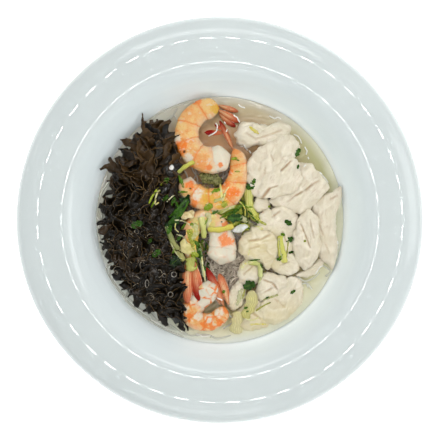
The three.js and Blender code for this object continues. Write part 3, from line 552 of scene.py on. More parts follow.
def shred(draw, middle, heading, length, width, tilt, crinkle, point=0.0):
    """A torn shred: it bends along its length, rolls as it goes and is crinkled along its edges."""
    share = np.linspace(0, 1, SHRED_STEPS)[:, None]
    across = np.linspace(-0.5, 0.5, 5)[None, :]
    turn = heading + draw.normal(0, 1.0) * (share - 0.5)
    turn = turn + 0.4 * crinkle * np.sin(share * 6 + draw.random() * 6)
    step = length / (SHRED_STEPS - 1)
    x = np.cumsum(np.cos(turn) * step, axis=0)
    y = np.cumsum(np.sin(turn) * step, axis=0)
    x, y = x - x.mean(), y - y.mean()
    roll = tilt + draw.normal(0, 0.9) * (share - 0.5)
    roll = roll + 0.6 * crinkle * np.sin(share * 7 + draw.random() * 6)
    taper = 0.2 + 0.8 * np.sin(np.pi * np.clip(share, 0.04, 0.96)) ** 0.6 * (1 - point * share ** 2)
    torn = 1 + 0.32 * crinkle * np.sin(share * draw.uniform(14, 26) + draw.random() * 6 + across * 3)
    half = width * taper * across * torn
    beat, phase = length / (2.2 + 1.8 * draw.random()), draw.random() * 6
    ruffle = (across * 2) ** 2 * np.sin(share * np.pi * beat + phase + across * 3) * width * 0.2 * crinkle
    ruffle = ruffle + 0.3 * crinkle * np.sin(share * beat * 5 + across * 8 + phase)
    lift = 0.12 * length * np.sin(np.pi * share + draw.normal(0, 0.6)) * draw.uniform(-0.3, 1) * crinkle
    grid = np.stack([
        x - np.sin(turn) * (half * np.cos(roll) - ruffle * np.sin(roll)),
        y + np.cos(turn) * (half * np.cos(roll) - ruffle * np.sin(roll)),
        half * np.sin(roll) + ruffle * np.cos(roll) + lift,
    ], axis=-1)
    return grid + np.array(middle)


# Broader smooth pieces that lie on top: the middle, the way it points, length, width, tilt and shade.
SMOOTH_PIECES = [
    (-31.6, 34, 44.6, 0.15, 15, 8, 0.1, 0.1), (-50, -27, 44.4, -0.1, 16, 5, 0.25, 0.93),
    (-61, -17, 44, -0.25, 15, 6.5, 0.2, 0.7), (-44.6, -36, 43.6, 1.3, 14, 8, 0.3, 0.3),
    (-39, -34.6, 43.6, 0.9, 13, 6, -0.3, 0.2), (-34, -42, 43, 1.5, 12, 7, 0.2, 0.4),
    (-52, -46, 42.6, 0.5, 13, 5, 0.4, 0.45), (-41, -54, 41.4, 0.2, 14, 5, 0.2, 0.3),
    (-34, -61, 40, -0.9, 12, 6, 0.2, 0.4), (-64, -29, 42.4, -1.0, 13, 6, -0.2, 0.6),
    (-58, -37, 42.8, -0.7, 12, 6, 0.1, 0.35), (-70, -12, 42, 1.8, 12, 5, 0.3, 0.5),
    (-36, -18, 44.6, 0.8, 12, 7, 0.1, 0.2), (-41, -8, 44.8, 1.4, 12, 6, 0.2, 0.15),
    (-45.6, 3, 45, 0.6, 13, 6.5, -0.2, 0.25), (-36, 20, 44.6, 1.1, 10, 5, 0.1, 0.1),
    (-41, 14, 44.6, 2.0, 9, 5, -0.2, 0.2), (-48, 17, 44.6, 0.9, 14, 5, 0.3, 0.5),
    (-76, -6, 40.6, 0.4, 11, 7, 0.3, 0.85), (-71, -24, 40.6, -1.2, 11, 5, 0.3, 0.75),
    (-66, 36, 41.6, 1.2, 12, 6, 0.3, 0.6),
]

# Lengths, widths, spread of the tilt, crinkle, and the palest shade, in the upper and the lower part.
UPPER_SHREDS = ((10, 19), (4.2, 8.6), 0.8, 0.52, 0.9)
LOWER_SHREDS = ((9, 18), (3.6, 7.6), 0.7, 0.55, 0.4)

heap_edge = smooth_line(HEAP_OUTLINE, closed=True)
ear_core = mottled("wood_ear_shadow", 4, 3, tint(8, 6, 4), tint(22, 16, 10), Roughness=0.45,
                   Specular_IOR_Level=0.1)
seat(ball("wood_ear_core", 72, 28, heap_core), ear_core, "wood_ear", "wood_ear")

draw = np.random.default_rng(47)
parts, shades, middles = [], [], []
for _ in range(TRIES):
    x, y = draw.uniform(-80, -24), draw.uniform(-71, 67)
    upper = y > -20 + 0.1 * x  # the lower part of the heap is darker and its shreds are smaller
    close = 4.0 if upper else 3.9
    if not inside(HEAP_OUTLINE, x, y) or any(math.hypot(x - a, y - b) < close for a, b in middles):
        continue
    middles.append((x, y))
    top = float(heap_height(x, y)) - 0.4 + 2.3 * draw.random()
    lengths, widths, tilts, crinkle, palest = UPPER_SHREDS if upper else LOWER_SHREDS
    grid = shred(draw, (x, y, top), draw.random() * np.pi, draw.uniform(*lengths), draw.uniform(*widths),
                 draw.normal(0, tilts), crinkle=crinkle)
    out = np.hypot(grid[..., 0], grid[..., 1])
    grid[..., 2] = np.maximum(grid[..., 2], np.interp(out, *WELL_FACE))
    parts.append(sheet(grid, SHRED_THICKNESS))
    shades.append(draw.random() * palest)
for x, y, z, heading, length, width in HEAP_TIPS:
    own_draw = np.random.default_rng(int(abs(x * y)))
    grid = shred(own_draw, (0, 0, 0), heading, length, width, 0.3, crinkle=0.6, point=0.85)
    grid += np.array([x, y, z]) - grid[-1].mean(axis=0)
    parts.append(sheet(grid, SHRED_THICKNESS))
    shades.append(0.4 + 0.5 * draw.random())
smooth_parts = []
for x, y, z, heading, length, width, tilt, _ in SMOOTH_PIECES:
    own_draw = np.random.default_rng(int(abs(x * y)))
    grid = shred(own_draw, (x, y, z), heading, length, width, tilt, crinkle=0.22)
    smooth_parts.append(sheet(grid, SMOOTH_THICKNESS))
heap = gathered("wood_ear_shreds", parts, shades)

ear = Finish("wood_ear")
_, across_it, own = ear.lay()
edge = 1 - across_it * (1 - across_it) * 4
grain = ear.speckle(1.1, 4, 0.62)
patch = ear.speckle(9, 2)
y = ear.numbers(ear.spot())[1]
lit_brown = ear.mix(y.step(0.018, 0.038), tint(28, 21, 10), tint(80, 57, 27))
brown = ear.mix((own * 0.9 + patch * 0.4 - 0.25).kept(), tint(7, 5, 2), lit_brown)
brown = ear.mix(grain.step(0.52, 0.8) * 0.24, brown, tint(74, 53, 26))
# Paler at the torn edges: partly the thin edge's own colour, partly painted highlight where wet edges catch
# light.
ear.dress(
    Base_Color=ear.mix((edge ** 14 * (patch * 1.6 - 0.4)).kept(), brown, tint(120, 94, 56)),
    Roughness=0.05 + 0.12 * grain,
    Normal=ear.bump(grain, 0.3),
    Specular_IOR_Level=0.4,
)
seat(heap, ear, "wood_ear", "wood_ear")

glossy = Finish("wood_ear_smooth")
own = glossy.lay()[2]
cloud = glossy.speckle(3, 3)
glossy.dress(
    Base_Color=glossy.mix((own * 0.8 + cloud * 0.4 - 0.2).kept(), tint(6, 5, 2), tint(56, 40, 21)),
    Roughness=0.04 + 0.08 * cloud,
    Normal=glossy.bump(cloud, 0.6),
    Specular_IOR_Level=0.5,
)
smooth_shades = [row[-1] for row in SMOOTH_PIECES]
seat(gathered("wood_ear_smooth", smooth_parts, smooth_shades), glossy, "wood_ear", "wood_ear")

# Pale threads curl on the lower part of the heap: painted highlights, for glints on its wet curled edges.
THREAD = 0.18  # half of a thread's thickness
draw = np.random.default_rng(8)
threads = []
for _ in range(56):
    x, y = draw.uniform(-68, -28), draw.uniform(-66, -6)
    if not inside(HEAP_OUTLINE, x, y):
        continue
    heading, bend = draw.random() * 6.3, draw.uniform(0.2, 0.6) * draw.choice([-1, 1])
    line = []
    for step in range(14):
        heading += bend + 0.2 * math.sin(step * 0.8 + x)
        x, y = x + 0.7 * math.cos(heading), y + 0.7 * math.sin(heading)
        line.append((x, y, float(heap_height(x, y)) + 2.0 + 0.5 * math.sin(step * 0.5 + y)))
    threads.append(strand(np.array(line), THREAD))
glint_threads_finish = Finish("wood_ear_painted_glints")
painted_glint = glint_threads_finish.speckle(5, 2).step(0.35, 0.7)
glint_threads_finish.dress(
    Base_Color=glint_threads_finish.mix(painted_glint, tint(44, 36, 28), tint(160, 150, 130)),
    Roughness=0.25,
    Specular_IOR_Level=0.3,
)
seat(gathered("wood_ear_painted_glints", threads), glint_threads_finish, "wood_ear", "wood_ear")

# ---- Chicken -------------------------------------------------------------------------------------
# Poached breast cut across the grain into slices about 8 mm thick, cream white and damp. Each is a slab
# with rounded edges, a faint grain, and clefts where the muscle has parted.
CHICKEN_STEPS, CHICKEN_RINGS = 124, 60
SMOOTHINGS = 10  # how often a slice is smoothed to find its hollows and ridges
# Per slice: its middle's height, thickness, slope in x and y, the turn of its fibres, and its outline.
CHICKEN = {
    3: (42.4, 6, 0.02, -0.04, 1.05, [(26, 20), (31, 31), (40, 38.5), (49, 40.5), (54, 33), (53, 24),
        (48, 18), (41, 17.5), (33, 14)]),
    2: (38.6, 9, -0.03, -0.02, 1.2, [(18, 29), (19, 39), (25, 46.5), (34, 52.5), (42, 57), (50, 55.5),
        (53, 48.5), (50.5, 41), (45, 33), (38, 24), (31, 15), (23.5, 17)]),
    9: (38.4, 8.4, 0.03, 0, 0.4, [(12.5, -17), (16, -9.5), (23, -5.5), (32, -8), (38, -12), (39, -20),
        (36.8, -25.5), (34.4, -31), (31, -32.6), (27.4, -28), (20, -26), (14, -22.5)]),
    6: (39.4, 8, 0.03, 0.05, 1.75, [(59, 6.5), (53.5, 2), (50.5, -6), (49, -17), (51.5, -27), (57, -34),
        (62, -30), (66, -22), (66.5, -9), (65, 2)]),
    8: (38.2, 8, 0, 0, 0.2, [(26, 0), (28, 4.5), (33, 6), (36.5, 1), (34, -6.5), (28, -6)]),
    7: (37.4, 7.4, 0, 0.03, 0.7, [(36, 8), (44, 9), (51.5, 2), (50, -8), (49, -20), (44, -23), (39.5, -12),
        (33, -7), (31, 1)]),
    17: (37, 6.6, 0, 0, 0, [(23.5, 7), (24, 14), (30, 14.5), (32.5, 9), (28, 5.5)]),
    4: (37.6, 7.8, 0, -0.02, 0.75, [(34, 13), (40, 19), (47, 20), (52, 28), (52, 37), (60, 37.5), (67, 31),
        (72.5, 22), (70, 18), (64, 12), (59, 6.4), (52, 4.6), (45, 7.4), (38, 9)]),
    5: (36.2, 8, 0.08, 0, 1.5, [(71, 17), (76, 19), (81, 22), (81.5, 15), (80, 9), (77.5, 3), (77.5, -8),
        (79, -15), (78, -25), (75.5, -32), (71, -28), (66, -23), (64, -12), (63, 0), (62, 10)]),
    10: (37.2, 7, 0, -0.02, -0.5, [(33.5, -28.5), (38, -24.5), (45, -22), (51, -26), (53, -33),
        (46, -36.5), (38, -34.5)]),
    11: (37.2, 7.2, 0, 0, 1.2, [(13, -32), (16, -28), (22, -27), (27, -32), (26.5, -38), (21, -43),
        (14.5, -42)]),
    12: (38.2, 7, 0, 0.02, 0.5, [(25, -48), (27, -40), (31, -35), (37, -37), (44.5, -38), (45, -43.5),
        (39, -49), (32, -51.5), (27, -54.5)]),
    15: (36.6, 6.6, 0, 0.02, 1.2, [(4.8, -53), (8, -46), (13, -41), (17, -46), (16, -54), (10, -60),
        (6, -58)]),
    16: (34.4, 5.4, -0.06, 0.04, 0.5, [(51, -37), (58, -33), (66, -27), (69.5, -28), (65, -35), (57, -39)]),
    13: (35.4, 7.6, -0.06, 0.1, 1.0, [(45, -38), (52, -38.5), (56, -46), (54.5, -56), (48, -64), (39, -69),
        (30, -69), (26, -60), (33, -48), (40, -42)]),
    14: (33.8, 7, 0, 0.08, 0.4, [(14, -58), (20, -53), (28, -55), (34, -62), (32, -71.5), (22, -74),
        (12, -73), (7, -67)]),
    1: (34.4, 11, 0, 0, 0.35, [(10.5, 57), (13, 51.5), (19, 49), (25, 50.5), (33, 50), (42, 52), (47, 58),
        (46, 63), (40, 65.5), (32, 63.5), (27, 64), (22, 66), (15, 65)]),
}
# Clefts seen in the slices: the two ends, how deep, and how wide to one side.
CLEFTS = [
    (28.5, 15, 33, 21, 1.6, 0.8), (33, 21, 38, 22.5, 0.9, 0.6), (41, 33, 47, 39, 1.1, 0.7),
    (26, 33, 27.5, 38, 0.4, 0.5), (29.5, 30, 30.5, 35, 0.4, 0.5), (34, 43, 36, 39, 0.5, 0.5),
    (57, 20, 62, 24, 0.9, 0.7), (62, 24, 66, 26, 0.7, 0.6), (50, 16, 55, 19, 0.9, 0.7),
    (45, 12, 50, 16, 0.6, 0.6), (54, -3, 58, -13, 0.8, 0.6), (58, -13, 60, -18, 0.8, 0.6),
    (60, 0, 62.5, -12, 0.6, 0.5), (66, -2, 69, -10, 0.5, 0.5), (19, -14, 27, -13, 0.8, 0.6),
    (27, -13, 33, -10, 0.7, 0.6), (20, -19, 26, -17.5, 0.6, 0.5), (35, 2, 40, 5.5, 0.7, 0.6),
    (42, -8, 44, -14, 0.7, 0.6), (16, -36, 22, -31, 0.7, 0.7), (29, -40, 35, -42, 0.9, 0.7),
    (35, -42, 38, -46, 0.8, 0.7), (30, -48, 34, -46, 0.7, 0.6), (22, -62, 27, -66, 0.7, 0.7),
    (14, -66, 20, -62, 0.6, 0.6), (37, -53, 43, -58, 0.5, 0.5), (40, -30, 46, -28, 0.5, 0.5),
    (18, 58, 24, 54, 0.7, 0.8), (24, 54, 33, 57, 0.6, 0.7), (33, 57, 41, 60, 0.6, 0.7),
    (74, 14, 78, 16, 0.7, 0.6), (70, -15, 73, -22, 0.5, 0.5),
]


def cleft_depth(spots):
    """How far the clefts cut down at each place."""
    x, y = spots[:, 0], spots[:, 1]
    wander = relief(spots, 2.6, 9) * 0.7
    depth = np.zeros(len(spots))
    for x1, y1, x2, y2, deep, wide in CLEFTS:
        dx, dy = x2 - x1, y2 - y1
        share = np.clip(((x - x1) * dx + (y - y1) * dy) / (dx * dx + dy * dy), 0, 1)
        away = np.hypot(x - x1 - share * dx, y - y1 - share * dy) + wander * 0.5
        ends = 0.5 + 0.5 * np.sin(np.pi * (0.15 + 0.7 * share))
        depth = np.maximum(depth, deep * 1.3 * np.exp(-(away / wide) ** 2) * ends)
    return depth


def along_fibres(spots, turn, stretch):
    """The places in a slice's own grain, drawn together along the fibres."""
    along = spots[:, 0] * math.cos(turn) + spots[:, 1] * math.sin(turn)
    across = spots[:, 1] * math.cos(turn) - spots[:, 0] * math.sin(turn)
    return np.c_[along / stretch, across, spots[:, 2] * 0.5]


def sunk(piece, places):
    """How far each vertex lies under the smoothed run of its neighbours, in millimetres."""
    one, other = np.array([edge.vertices[:] for edge in piece.data.edges]).T
    count = len(places)
    neighbours = np.bincount(one, minlength=count) + np.bincount(other, minlength=count)
    level = places[:, 2]
    for _ in range(SMOOTHINGS):
        level = (np.bincount(one, level[other], count) + np.bincount(other, level[one], count)) / neighbours
    return np.clip(level - places[:, 2], -0.5, 0.5)


def slab(number):
    """The form of one slice, for ball()."""
    height, thickness, slope_x, slope_y, turn, outline = CHICKEN[number]
    rim = smooth_line(outline, closed=True)
    middle = np.array([*np.mean(outline, axis=0), 0])

    def place(u, v):
        reach = np.sin(np.pi * v)
        edge = at(rim, u)
        spot = middle + (edge - middle) * reach[:, None]
        side = np.sign(np.round(np.cos(np.pi * v), 6))
        lift = side * thickness / 2 * np.clip(1 - reach ** 6, 0, 1) ** (1 / 3)
        crown = 0.16 * thickness * reach ** 2
        incline = slope_x * (spot[:, 0] - middle[0]) + slope_y * (spot[:, 1] - middle[1])
        spot[:, 2] = height + incline + lift - crown
        fibres = along_fibres(spot, turn, 2.4)
        broad = relief(spot, 10, number) * 0.8 + relief(fibres, 3.2, number + 20) * 0.2
        fine = relief(fibres, 1.3, number + 5) * 0.07 + relief(spot, 1.8, 4) * 0.09
        ledges = np.tanh(relief(spot, 8, number + 90) * 9) * 0.4
        ledges += np.tanh(relief(fibres, 2.6, number + 30) * 7) * 0.05
        cracked = np.clip(relief(spot, 8, number + 80) * 2 + 0.1, 0, 1)
        cracks = np.exp(-(relief(fibres, 4.2, number + 60) / 0.08) ** 2) * cracked
        upper = np.clip(lift / (thickness / 2), 0, 1)
        spot[:, 2] += (broad + fine + ledges - cleft_depth(spot) - 0.5 * cracks) * upper
        torn = np.c_[edge[:, :2], 0.5 * spot[:, 2]]
        frayed = relief(torn, 4, number + 40) * 1.5 - np.abs(relief(torn, 2.4, 6)) * 1.5
        frayed += 0.6 + 0.25 * np.clip((64 - np.hypot(edge[:, 0], edge[:, 1])) / 8, 0, 1)
        spot[:, :2] += unit(edge - middle)[:, :2] * (frayed * reach ** 5)[:, None]
        return spot

    return place


meat = Finish("poached_chicken")
down = meat.lay()[2]
hollow_shade_and_ridge_light = meat.lay("fibre")[2]
fibre_place = meat.add("ShaderNodeAttribute", {"attribute_name": "fibre"}, out=1)
flat_place = meat.add("ShaderNodeVectorMath", {"operation": "MULTIPLY"}, {0: fibre_place, 1: (1, 1, 0)})
fibre = meat.speckle(0.8, 4, 0.65, flat_place)
threads = meat.speckle(2.6, 2, 0.5, flat_place)
crack = 1 - (threads - 0.5).size().step(0.004, 0.022)
soft = meat.speckle(7, 3)
cream = meat.mix(soft.step(0.3, 0.7), tint(206, 197, 172), tint(218, 210, 190))
cream = meat.mix(fibre.step(0.5, 0.7) * 0.3, cream, tint(196, 180, 150))
# Browner along some of the cracks: painted shade down in them.
cream = meat.mix((crack * soft.step(0.46, 0.6) * 0.4).kept(), cream, tint(176, 150, 116))
x, y, _ = meat.numbers(meat.spot())
nearer = 0 - y
# Yellower by the leek, right of the middle and at the near side.
steeped = nearer.step(0.002, 0.012) * (1 - nearer.step(0.030, 0.038)) * (1 - x.step(0.036, 0.050)) * 0.7
steeped = steeped + nearer.step(0.046, 0.064) * 0.7
cream = meat.mix((steeped * (soft * 1.6)).kept(), cream, tint(200, 186, 134))
# Browner down in the clefts and hollows, as painted shade, and paler along the ridges, as painted light.
cream = meat.mix((hollow_shade_and_ridge_light * 560).kept() * 0.85, cream, tint(172, 140, 102))
cream = meat.mix((hollow_shade_and_ridge_light * -2200).kept() * 0.7, cream, tint(236, 229, 212))
# Darker in the small pits: painted shade.
pits = meat.speckle(1.3, 3, 0.6)
cream = meat.mix((1 - pits.step(0.3, 0.4)) * 0.3, cream, tint(180, 156, 118))
# Browner down the sides and underneath: partly the meat's own outside, partly painted shade.
flank = down.step(0.44, 0.58)
meat.dress(
    Base_Color=meat.mix(flank * 0.8, cream, tint(200, 174, 140)),
    Roughness=0.32 + 0.3 * fibre,
    Normal=meat.bump(fibre - crack * 0.4 + pits * 0.5, 0.4),
    Subsurface_Weight=0.2,
    Subsurface_Radius=(1.0, 0.7, 0.45),
    Subsurface_Scale=0.0006,
)
dressed = []  # what small bits may lie on
for number, (*_, fibre_turn, _) in CHICKEN.items():
    piece = ball(f"chicken_slice_{number}", CHICKEN_STEPS, CHICKEN_RINGS, slab(number))
    places = corners_of(piece.data) / MM
    fibres = along_fibres(places, fibre_turn, 4)
    # The fibre's third number is how deep a place lies in a cleft or hollow: it drives the painted shade and
    # light.
    fibres[:, 2] = np.clip(cleft_depth(places), 0, 1.4) + sunk(piece, places)
    keep(piece.data, "fibre", fibres * MM)
    dressed.append(seat(piece, meat, "chicken", f"chicken_{number}"))

# ---- Prawns --------------------------------------------------------------------------------------
# Boiled prawns, peeled down to the tail and curled on their sides: firm white flesh in six plump rings,
# orange where the rings meet, with a ribbed red tail fan of thin blades.
PRAWN_STEPS, PRAWN_RINGS = 64, 170
WHITE, CREAM, YELLOW = tint(204, 198, 178), tint(210, 175, 112), tint(198, 158, 50)
PEACH, ORANGE, BRIGHT = tint(208, 138, 72), tint(214, 116, 44), tint(220, 112, 28)
DARK = tint(44, 26, 18)
STEEPED = tint(192, 186, 112)  # by the leek on it
# Per prawn: the path from the thick cut end to the root of the tail, half widths at the cut end, middle
# and tail, thickness, the side its back is on, where white ends, how orange and how netted it is, its
# patches of other colours (x, y, radius, colour), and the tail's blades, each from root to tip with its
# half width and how dark a red it has.
PRAWNS = {
    1: dict(
        path=[(7.4, 43.4, 40), (-6, 40, 40.2), (-16, 43.5, 40.2), (-21.5, 51.5, 39.8), (-22, 60, 38.8),
              (-18, 68.5, 38), (-9.5, 74, 37.4), (0, 74.6, 36.6)],
        halves=(9.2, 8.4, 6.8), thickness=13, back=1, white=0.17, orange=1.0, net=0.1,
        patches=[(-25, 64, 4.4, CREAM), (-29, 53.5, 3.6, WHITE), (-26.6, 47.6, 4.6, BRIGHT),
                 (0.4, 36.6, 1.8, ORANGE), (-21, 41.5, 3, WHITE), (-9, 79, 7, CREAM),
                 (-3, 74.6, 3.6, YELLOW), (-12, 37, 3.4, PEACH), (-7.6, 34.6, 2.4, ORANGE),
                 (-19, 57, 3.6, CREAM), (-23.4, 45.6, 1.1, DARK), (-15, 79, 3, ORANGE)],
        blades=[((-2, 77, 37), (12.6, 72.6, 34.4), 2.2, 0.35),
                ((-2, 74, 37.4), (13.2, 65.6, 34.6), 2.9, 0.7),
                ((-1, 71.6, 36), (10.6, 62.4, 33.4), 2.6, 1.1)]),
    3: dict(
        path=[(0, -30, 39), (1.6, -20, 39.8), (0.8, -10, 39.8), (-2.6, -2.6, 40), (-9, 1.2, 40),
              (-15.4, -1, 40), (-19, -8, 40), (-20, -17, 40), (-20, -27, 40.8)],
        halves=(10.6, 6.4, 5), thickness=12.6, back=-1, white=0.36, orange=0.75, net=0.3,
        patches=[(4.6, -13.6, 5.6, ORANGE), (8, -9.6, 3, WHITE), (-2, -24, 4, WHITE), (-18, -12, 5, YELLOW),
                 (-6, -18, 6, WHITE), (3.4, -4.4, 3.4, ORANGE), (-17, -17, 4, YELLOW), (6, -20, 4, WHITE),
                 (-7, 0.6, 5, STEEPED), (-15, -3, 5, STEEPED), (-20, -20, 4, STEEPED), (-11, 3, 2, WHITE)],
        blades=[((-21.4, -25, 41.2), (-21.8, -55.8, 43.2), 4.3, 0.35),
                ((-17.8, -26, 41.4), (-13.8, -54, 43.2), 4.4, 1.3)]),
    2: dict(
        path=[(-19.6, 29, 39.8), (-20.2, 21.5, 39.8), (-14.5, 15.5, 39.8), (-5, 13.2, 39.8),
              (4.4, 15.6, 39.6), (10, 22.4, 39), (12.2, 31, 38.6), (12.2, 40, 38), (9.6, 48, 37)],
        halves=(7, 8.2, 4.6), thickness=12.6, back=1, white=0.02, orange=1.0, net=0.3,
        patches=[(-18.4, 30, 6.6, WHITE), (-20, 22.6, 3.2, BRIGHT), (-17, 11, 2.6, ORANGE),
                 (-14, 17, 4, WHITE), (-8, 14, 5.6, YELLOW), (1, 12, 4.6, YELLOW), (3, 24, 3.4, ORANGE),
                 (8.4, 18, 4.4, BRIGHT), (6.6, 32, 2.6, BRIGHT), (12, 31, 3, CREAM), (10, 47, 4, PEACH),
                 (-23, 18, 3, CREAM)],
        blades=[((9.6, 46, 37), (-0.4, 67.4, 33), 2.2, 1.0),
                ((3, 58.6, 33.6), (-12.4, 58.8, 32.4), 3.0, 3.0),
                ((2.6, 60, 34), (-4.4, 65, 32.6), 1.8, 2.4)]),
    4: dict(
        path=[(-7.4, -40, 39.4), (-8.6, -48, 39.6), (-15, -54.6, 37), (-19.6, -60.8, 36.8), (-15.6, -67, 37),
              (-7.8, -68.4, 37.4), (-0.6, -65, 37.8), (3.2, -57.6, 38.4)],
        halves=(7.6, 6.6, 5.2), thickness=12.4, back=1, white=0.34, orange=1.0, net=1.4,
        patches=[(0, -61.4, 3.4, WHITE), (4.6, -60, 3, ORANGE), (-10.6, -69.4, 2.4, ORANGE),
                 (-20.4, -63.6, 2, ORANGE), (-5, -71.6, 2.2, ORANGE), (-24, -60, 3, WHITE),
                 (-14, -64, 3, WHITE), (-7.4, -66, 3, WHITE), (0, -69, 2.6, ORANGE),
                 (-14, -43.6, 2.2, CREAM)],
        blades=[((3, -58, 39), (-9, -31.6, 39.8), 3.4, 1.3),
                ((6.2, -57, 38.4), (-0.4, -35.6, 38.8), 3.5, 0.3),
                ((0.4, -57, 38.8), (-6.8, -38.6, 38.6), 2.2, 0.2)]),
}


def prawn_body(path, halves, thickness, back):
    """The form of a prawn's body, for ball(): six rings along the path, each lapping over the next."""
    line = smooth_line(path)
    headings = unit(np.gradient(line, axis=0))

    def place(u, v):
        along, heading = at(line, v), unit(at(headings, v))
        outward = unit(np.stack([heading[:, 1], -heading[:, 0], 0 * v], axis=1)) * -back
        cap = np.minimum(ease(v / 0.1), ease((1 - v) / 0.1) * 0.75 + 0.25 * ease((1 - v) / 0.04))
        turn = 2 * np.pi * u
        side = np.cos(turn)  # 1 on the back, -1 on the belly
        beat = (6 * v + 0.12 * side) % 1
        lap = 0.07 * (0.5 - beat) - 0.012 * np.exp(-(np.minimum(beat, 1 - beat) / 0.06) ** 2)
        half = np.interp(v, [0, 0.5, 1], halves)
        flank = thickness / 2 * (1 - 0.38 * v ** 1.5)
        slit = 1 - 0.1 * np.exp(-((turn / 0.22 - 0.3) % (2 * np.pi / 0.22)) ** 2) * (v < 0.6)
        square = 1 / (np.abs(np.cos(turn)) ** 2.5 + np.abs(np.sin(turn)) ** 2.5) ** (1 / 2.5)
        swell = (1 + lap) * cap * square * slit
        spot = along + outward * (side * half * swell)[:, None]
        spot[:, 2] += np.sin(turn) * flank * swell
        plump = relief(spot, 6, 2) * 0.5 + relief(spot, 2.4, 5) * 0.2
        spot += unit(spot - along) * (plump * np.sin(np.pi * v))[:, None]
        return spot

    return place


def tail_blade(root, tip, half):
    """The form of one blade of a tail: long, thin, ribbed and rounded at its end."""
    root, tip = np.array(root, float), np.array(tip, float)
    along = tip - root
    across = unit(np.array([-along[1], along[0], 0]))

    def place(u, v):
        turn = 2 * np.pi * u
        swell = np.sin(np.pi * np.clip(v, 0, 1)) ** 0.6 * (0.62 + 0.5 * v) * (v > 0) * (v < 1)
        side = np.cos(turn)
        ribs = 0.16 * np.cos(side * 11) * np.sin(np.pi * v)
        keel = 0.5 * (1 - side ** 2)
        spot = root + along * v[:, None] + across * (side * swell * half)[:, None]
        spot[:, 2] += np.sin(turn) * swell * 1.15 + ribs + keel - 0.5 * side ** 2 * swell
        return spot

    return place


def prawn_finish(number, white, orange, net, patches):
    """Flesh that is white at the cut end, then peach, deep orange where the rings meet, and netted, with
    painted highlights and glints.
    """
    finish = Finish(f"prawn_flesh_{number}")
    back_side, _, down = finish.lay()
    wobble = finish.speckle(3.4, 4, 0.65)
    cloud = finish.speckle(5, 4, 0.6)
    beat = (down * 6 + back_side * 0.12 + (wobble - 0.5) * 0.22).part()
    seam = ((beat - 0.5) * (beat - 0.5) * 4).kept()
    past_white = (down + (wobble - 0.5) * 0.12).step(white - 0.02, white + 0.05)
    belly = (back_side * -1).step(0.3, 1.0)
    veins = finish.add("ShaderNodeTexVoronoi", {"feature": "DISTANCE_TO_EDGE"},
                       {"Vector": finish.spot(), "Scale": 1 / (5.6 * MM)})
    netting = (1 - (veins + (wobble - 0.5) * 0.16).step(0.02, 0.14)) * cloud.step(0.42, 0.6) * net
    peach = finish.mix(cloud.step(0.36, 0.62), PEACH, CREAM)
    flesh = finish.mix(past_white * orange * (1 - belly * 0.5), WHITE, peach)
    x, y, _ = finish.numbers(finish.spot())
    for patch_x, patch_y, radius, colour in patches:
        away = ((x - patch_x * MM) ** 2 + (y - patch_y * MM) ** 2) ** 0.5 / (radius * MM)
        flesh = finish.mix((1.15 - away + (wobble - 0.5) * 2.4).step(0, 0.4) * 0.9, flesh, colour)
    freckles = finish.speckle(1.4, 3).step(0.54, 0.62)
    flesh = finish.mix(freckles * past_white * orange * 0.3, flesh, ORANGE)
    # Painted highlights: white gleams in patches.
    shifted = finish.add("ShaderNodeVectorMath", {}, {0: finish.spot(), 1: (7, 3, 5)})
    painted_gleams = finish.speckle(4, 4, spot=shifted).step(0.6, 0.66)
    flesh = finish.mix(painted_gleams * 0.5, flesh, WHITE)
    ringed = seam ** 5 * past_white * (0.35 + 0.6 * orange) * (cloud * 2 + 0.1).kept()
    redder = finish.mix((ringed * 0.95 + netting * 0.85).kept(), flesh, ORANGE)
    # Painted glints: small pale sparks; the same noise roughens the bump.
    painted_sparkle_noise = finish.speckle(0.8, 2)
    finish.dress(
        Base_Color=finish.mix(painted_sparkle_noise.step(0.6, 0.75) * 0.3, redder, tint(226, 200, 160)),
        Roughness=0.1 + 0.2 * wobble,
        Specular_IOR_Level=0.5,
        Normal=finish.bump(wobble * 0.8 + painted_sparkle_noise * 0.3 - seam ** 10 * 0.25, 0.6),
        Subsurface_Weight=0.2,
        Subsurface_Radius=(1.2, 0.6, 0.35),
        Subsurface_Scale=0.0012,
    )
    return finish


def blade_finish(name, dark):
    """A tail blade: red shell with paler ribs, darkest towards the tip, with painted highlights down its
    middle and along its edges.
    """
    finish = Finish(name)
    side, _, down = finish.lay()
    streak = finish.speckle(2.0, 3)
    ribs = (side * 3.1 + streak * 0.7).part()
    depth = (down * 1.7 - 0.6).kept() * dark
    pale = finish.mix(depth.kept(), tint(208, 160, 112), tint(200, 66, 42))
    red = finish.mix(depth.kept(), tint(196, 92, 52), tint(140, 22, 14))
    shell = finish.mix(((ribs - 0.5) * (ribs - 0.5) * 5 * (1.2 - down * dark).kept()).kept(), red, pale)
    # Painted highlight: pale down the middle towards the root, less on the darker blades.
    painted_middle_highlight = (1 - side.size().step(0.1, 0.55)) * (1 - down.step(0.5, 0.85)) * streak.step(0.3, 0.46)
    shell = finish.mix(painted_middle_highlight * max(0, 1 - 0.5 * dark) * 0.85, shell, tint(212, 184, 138))
    lit_rim = side.size().step(0.8, 0.95) * streak.step(0.46, 0.6)
    finish.dress(
        Base_Color=finish.mix(lit_rim * 0.75, shell, tint(220, 202, 180)),
        Roughness=0.14 + 0.2 * streak,
        Normal=finish.bump(ribs, 0.35),
        Specular_IOR_Level=0.3,
    )
    return finish


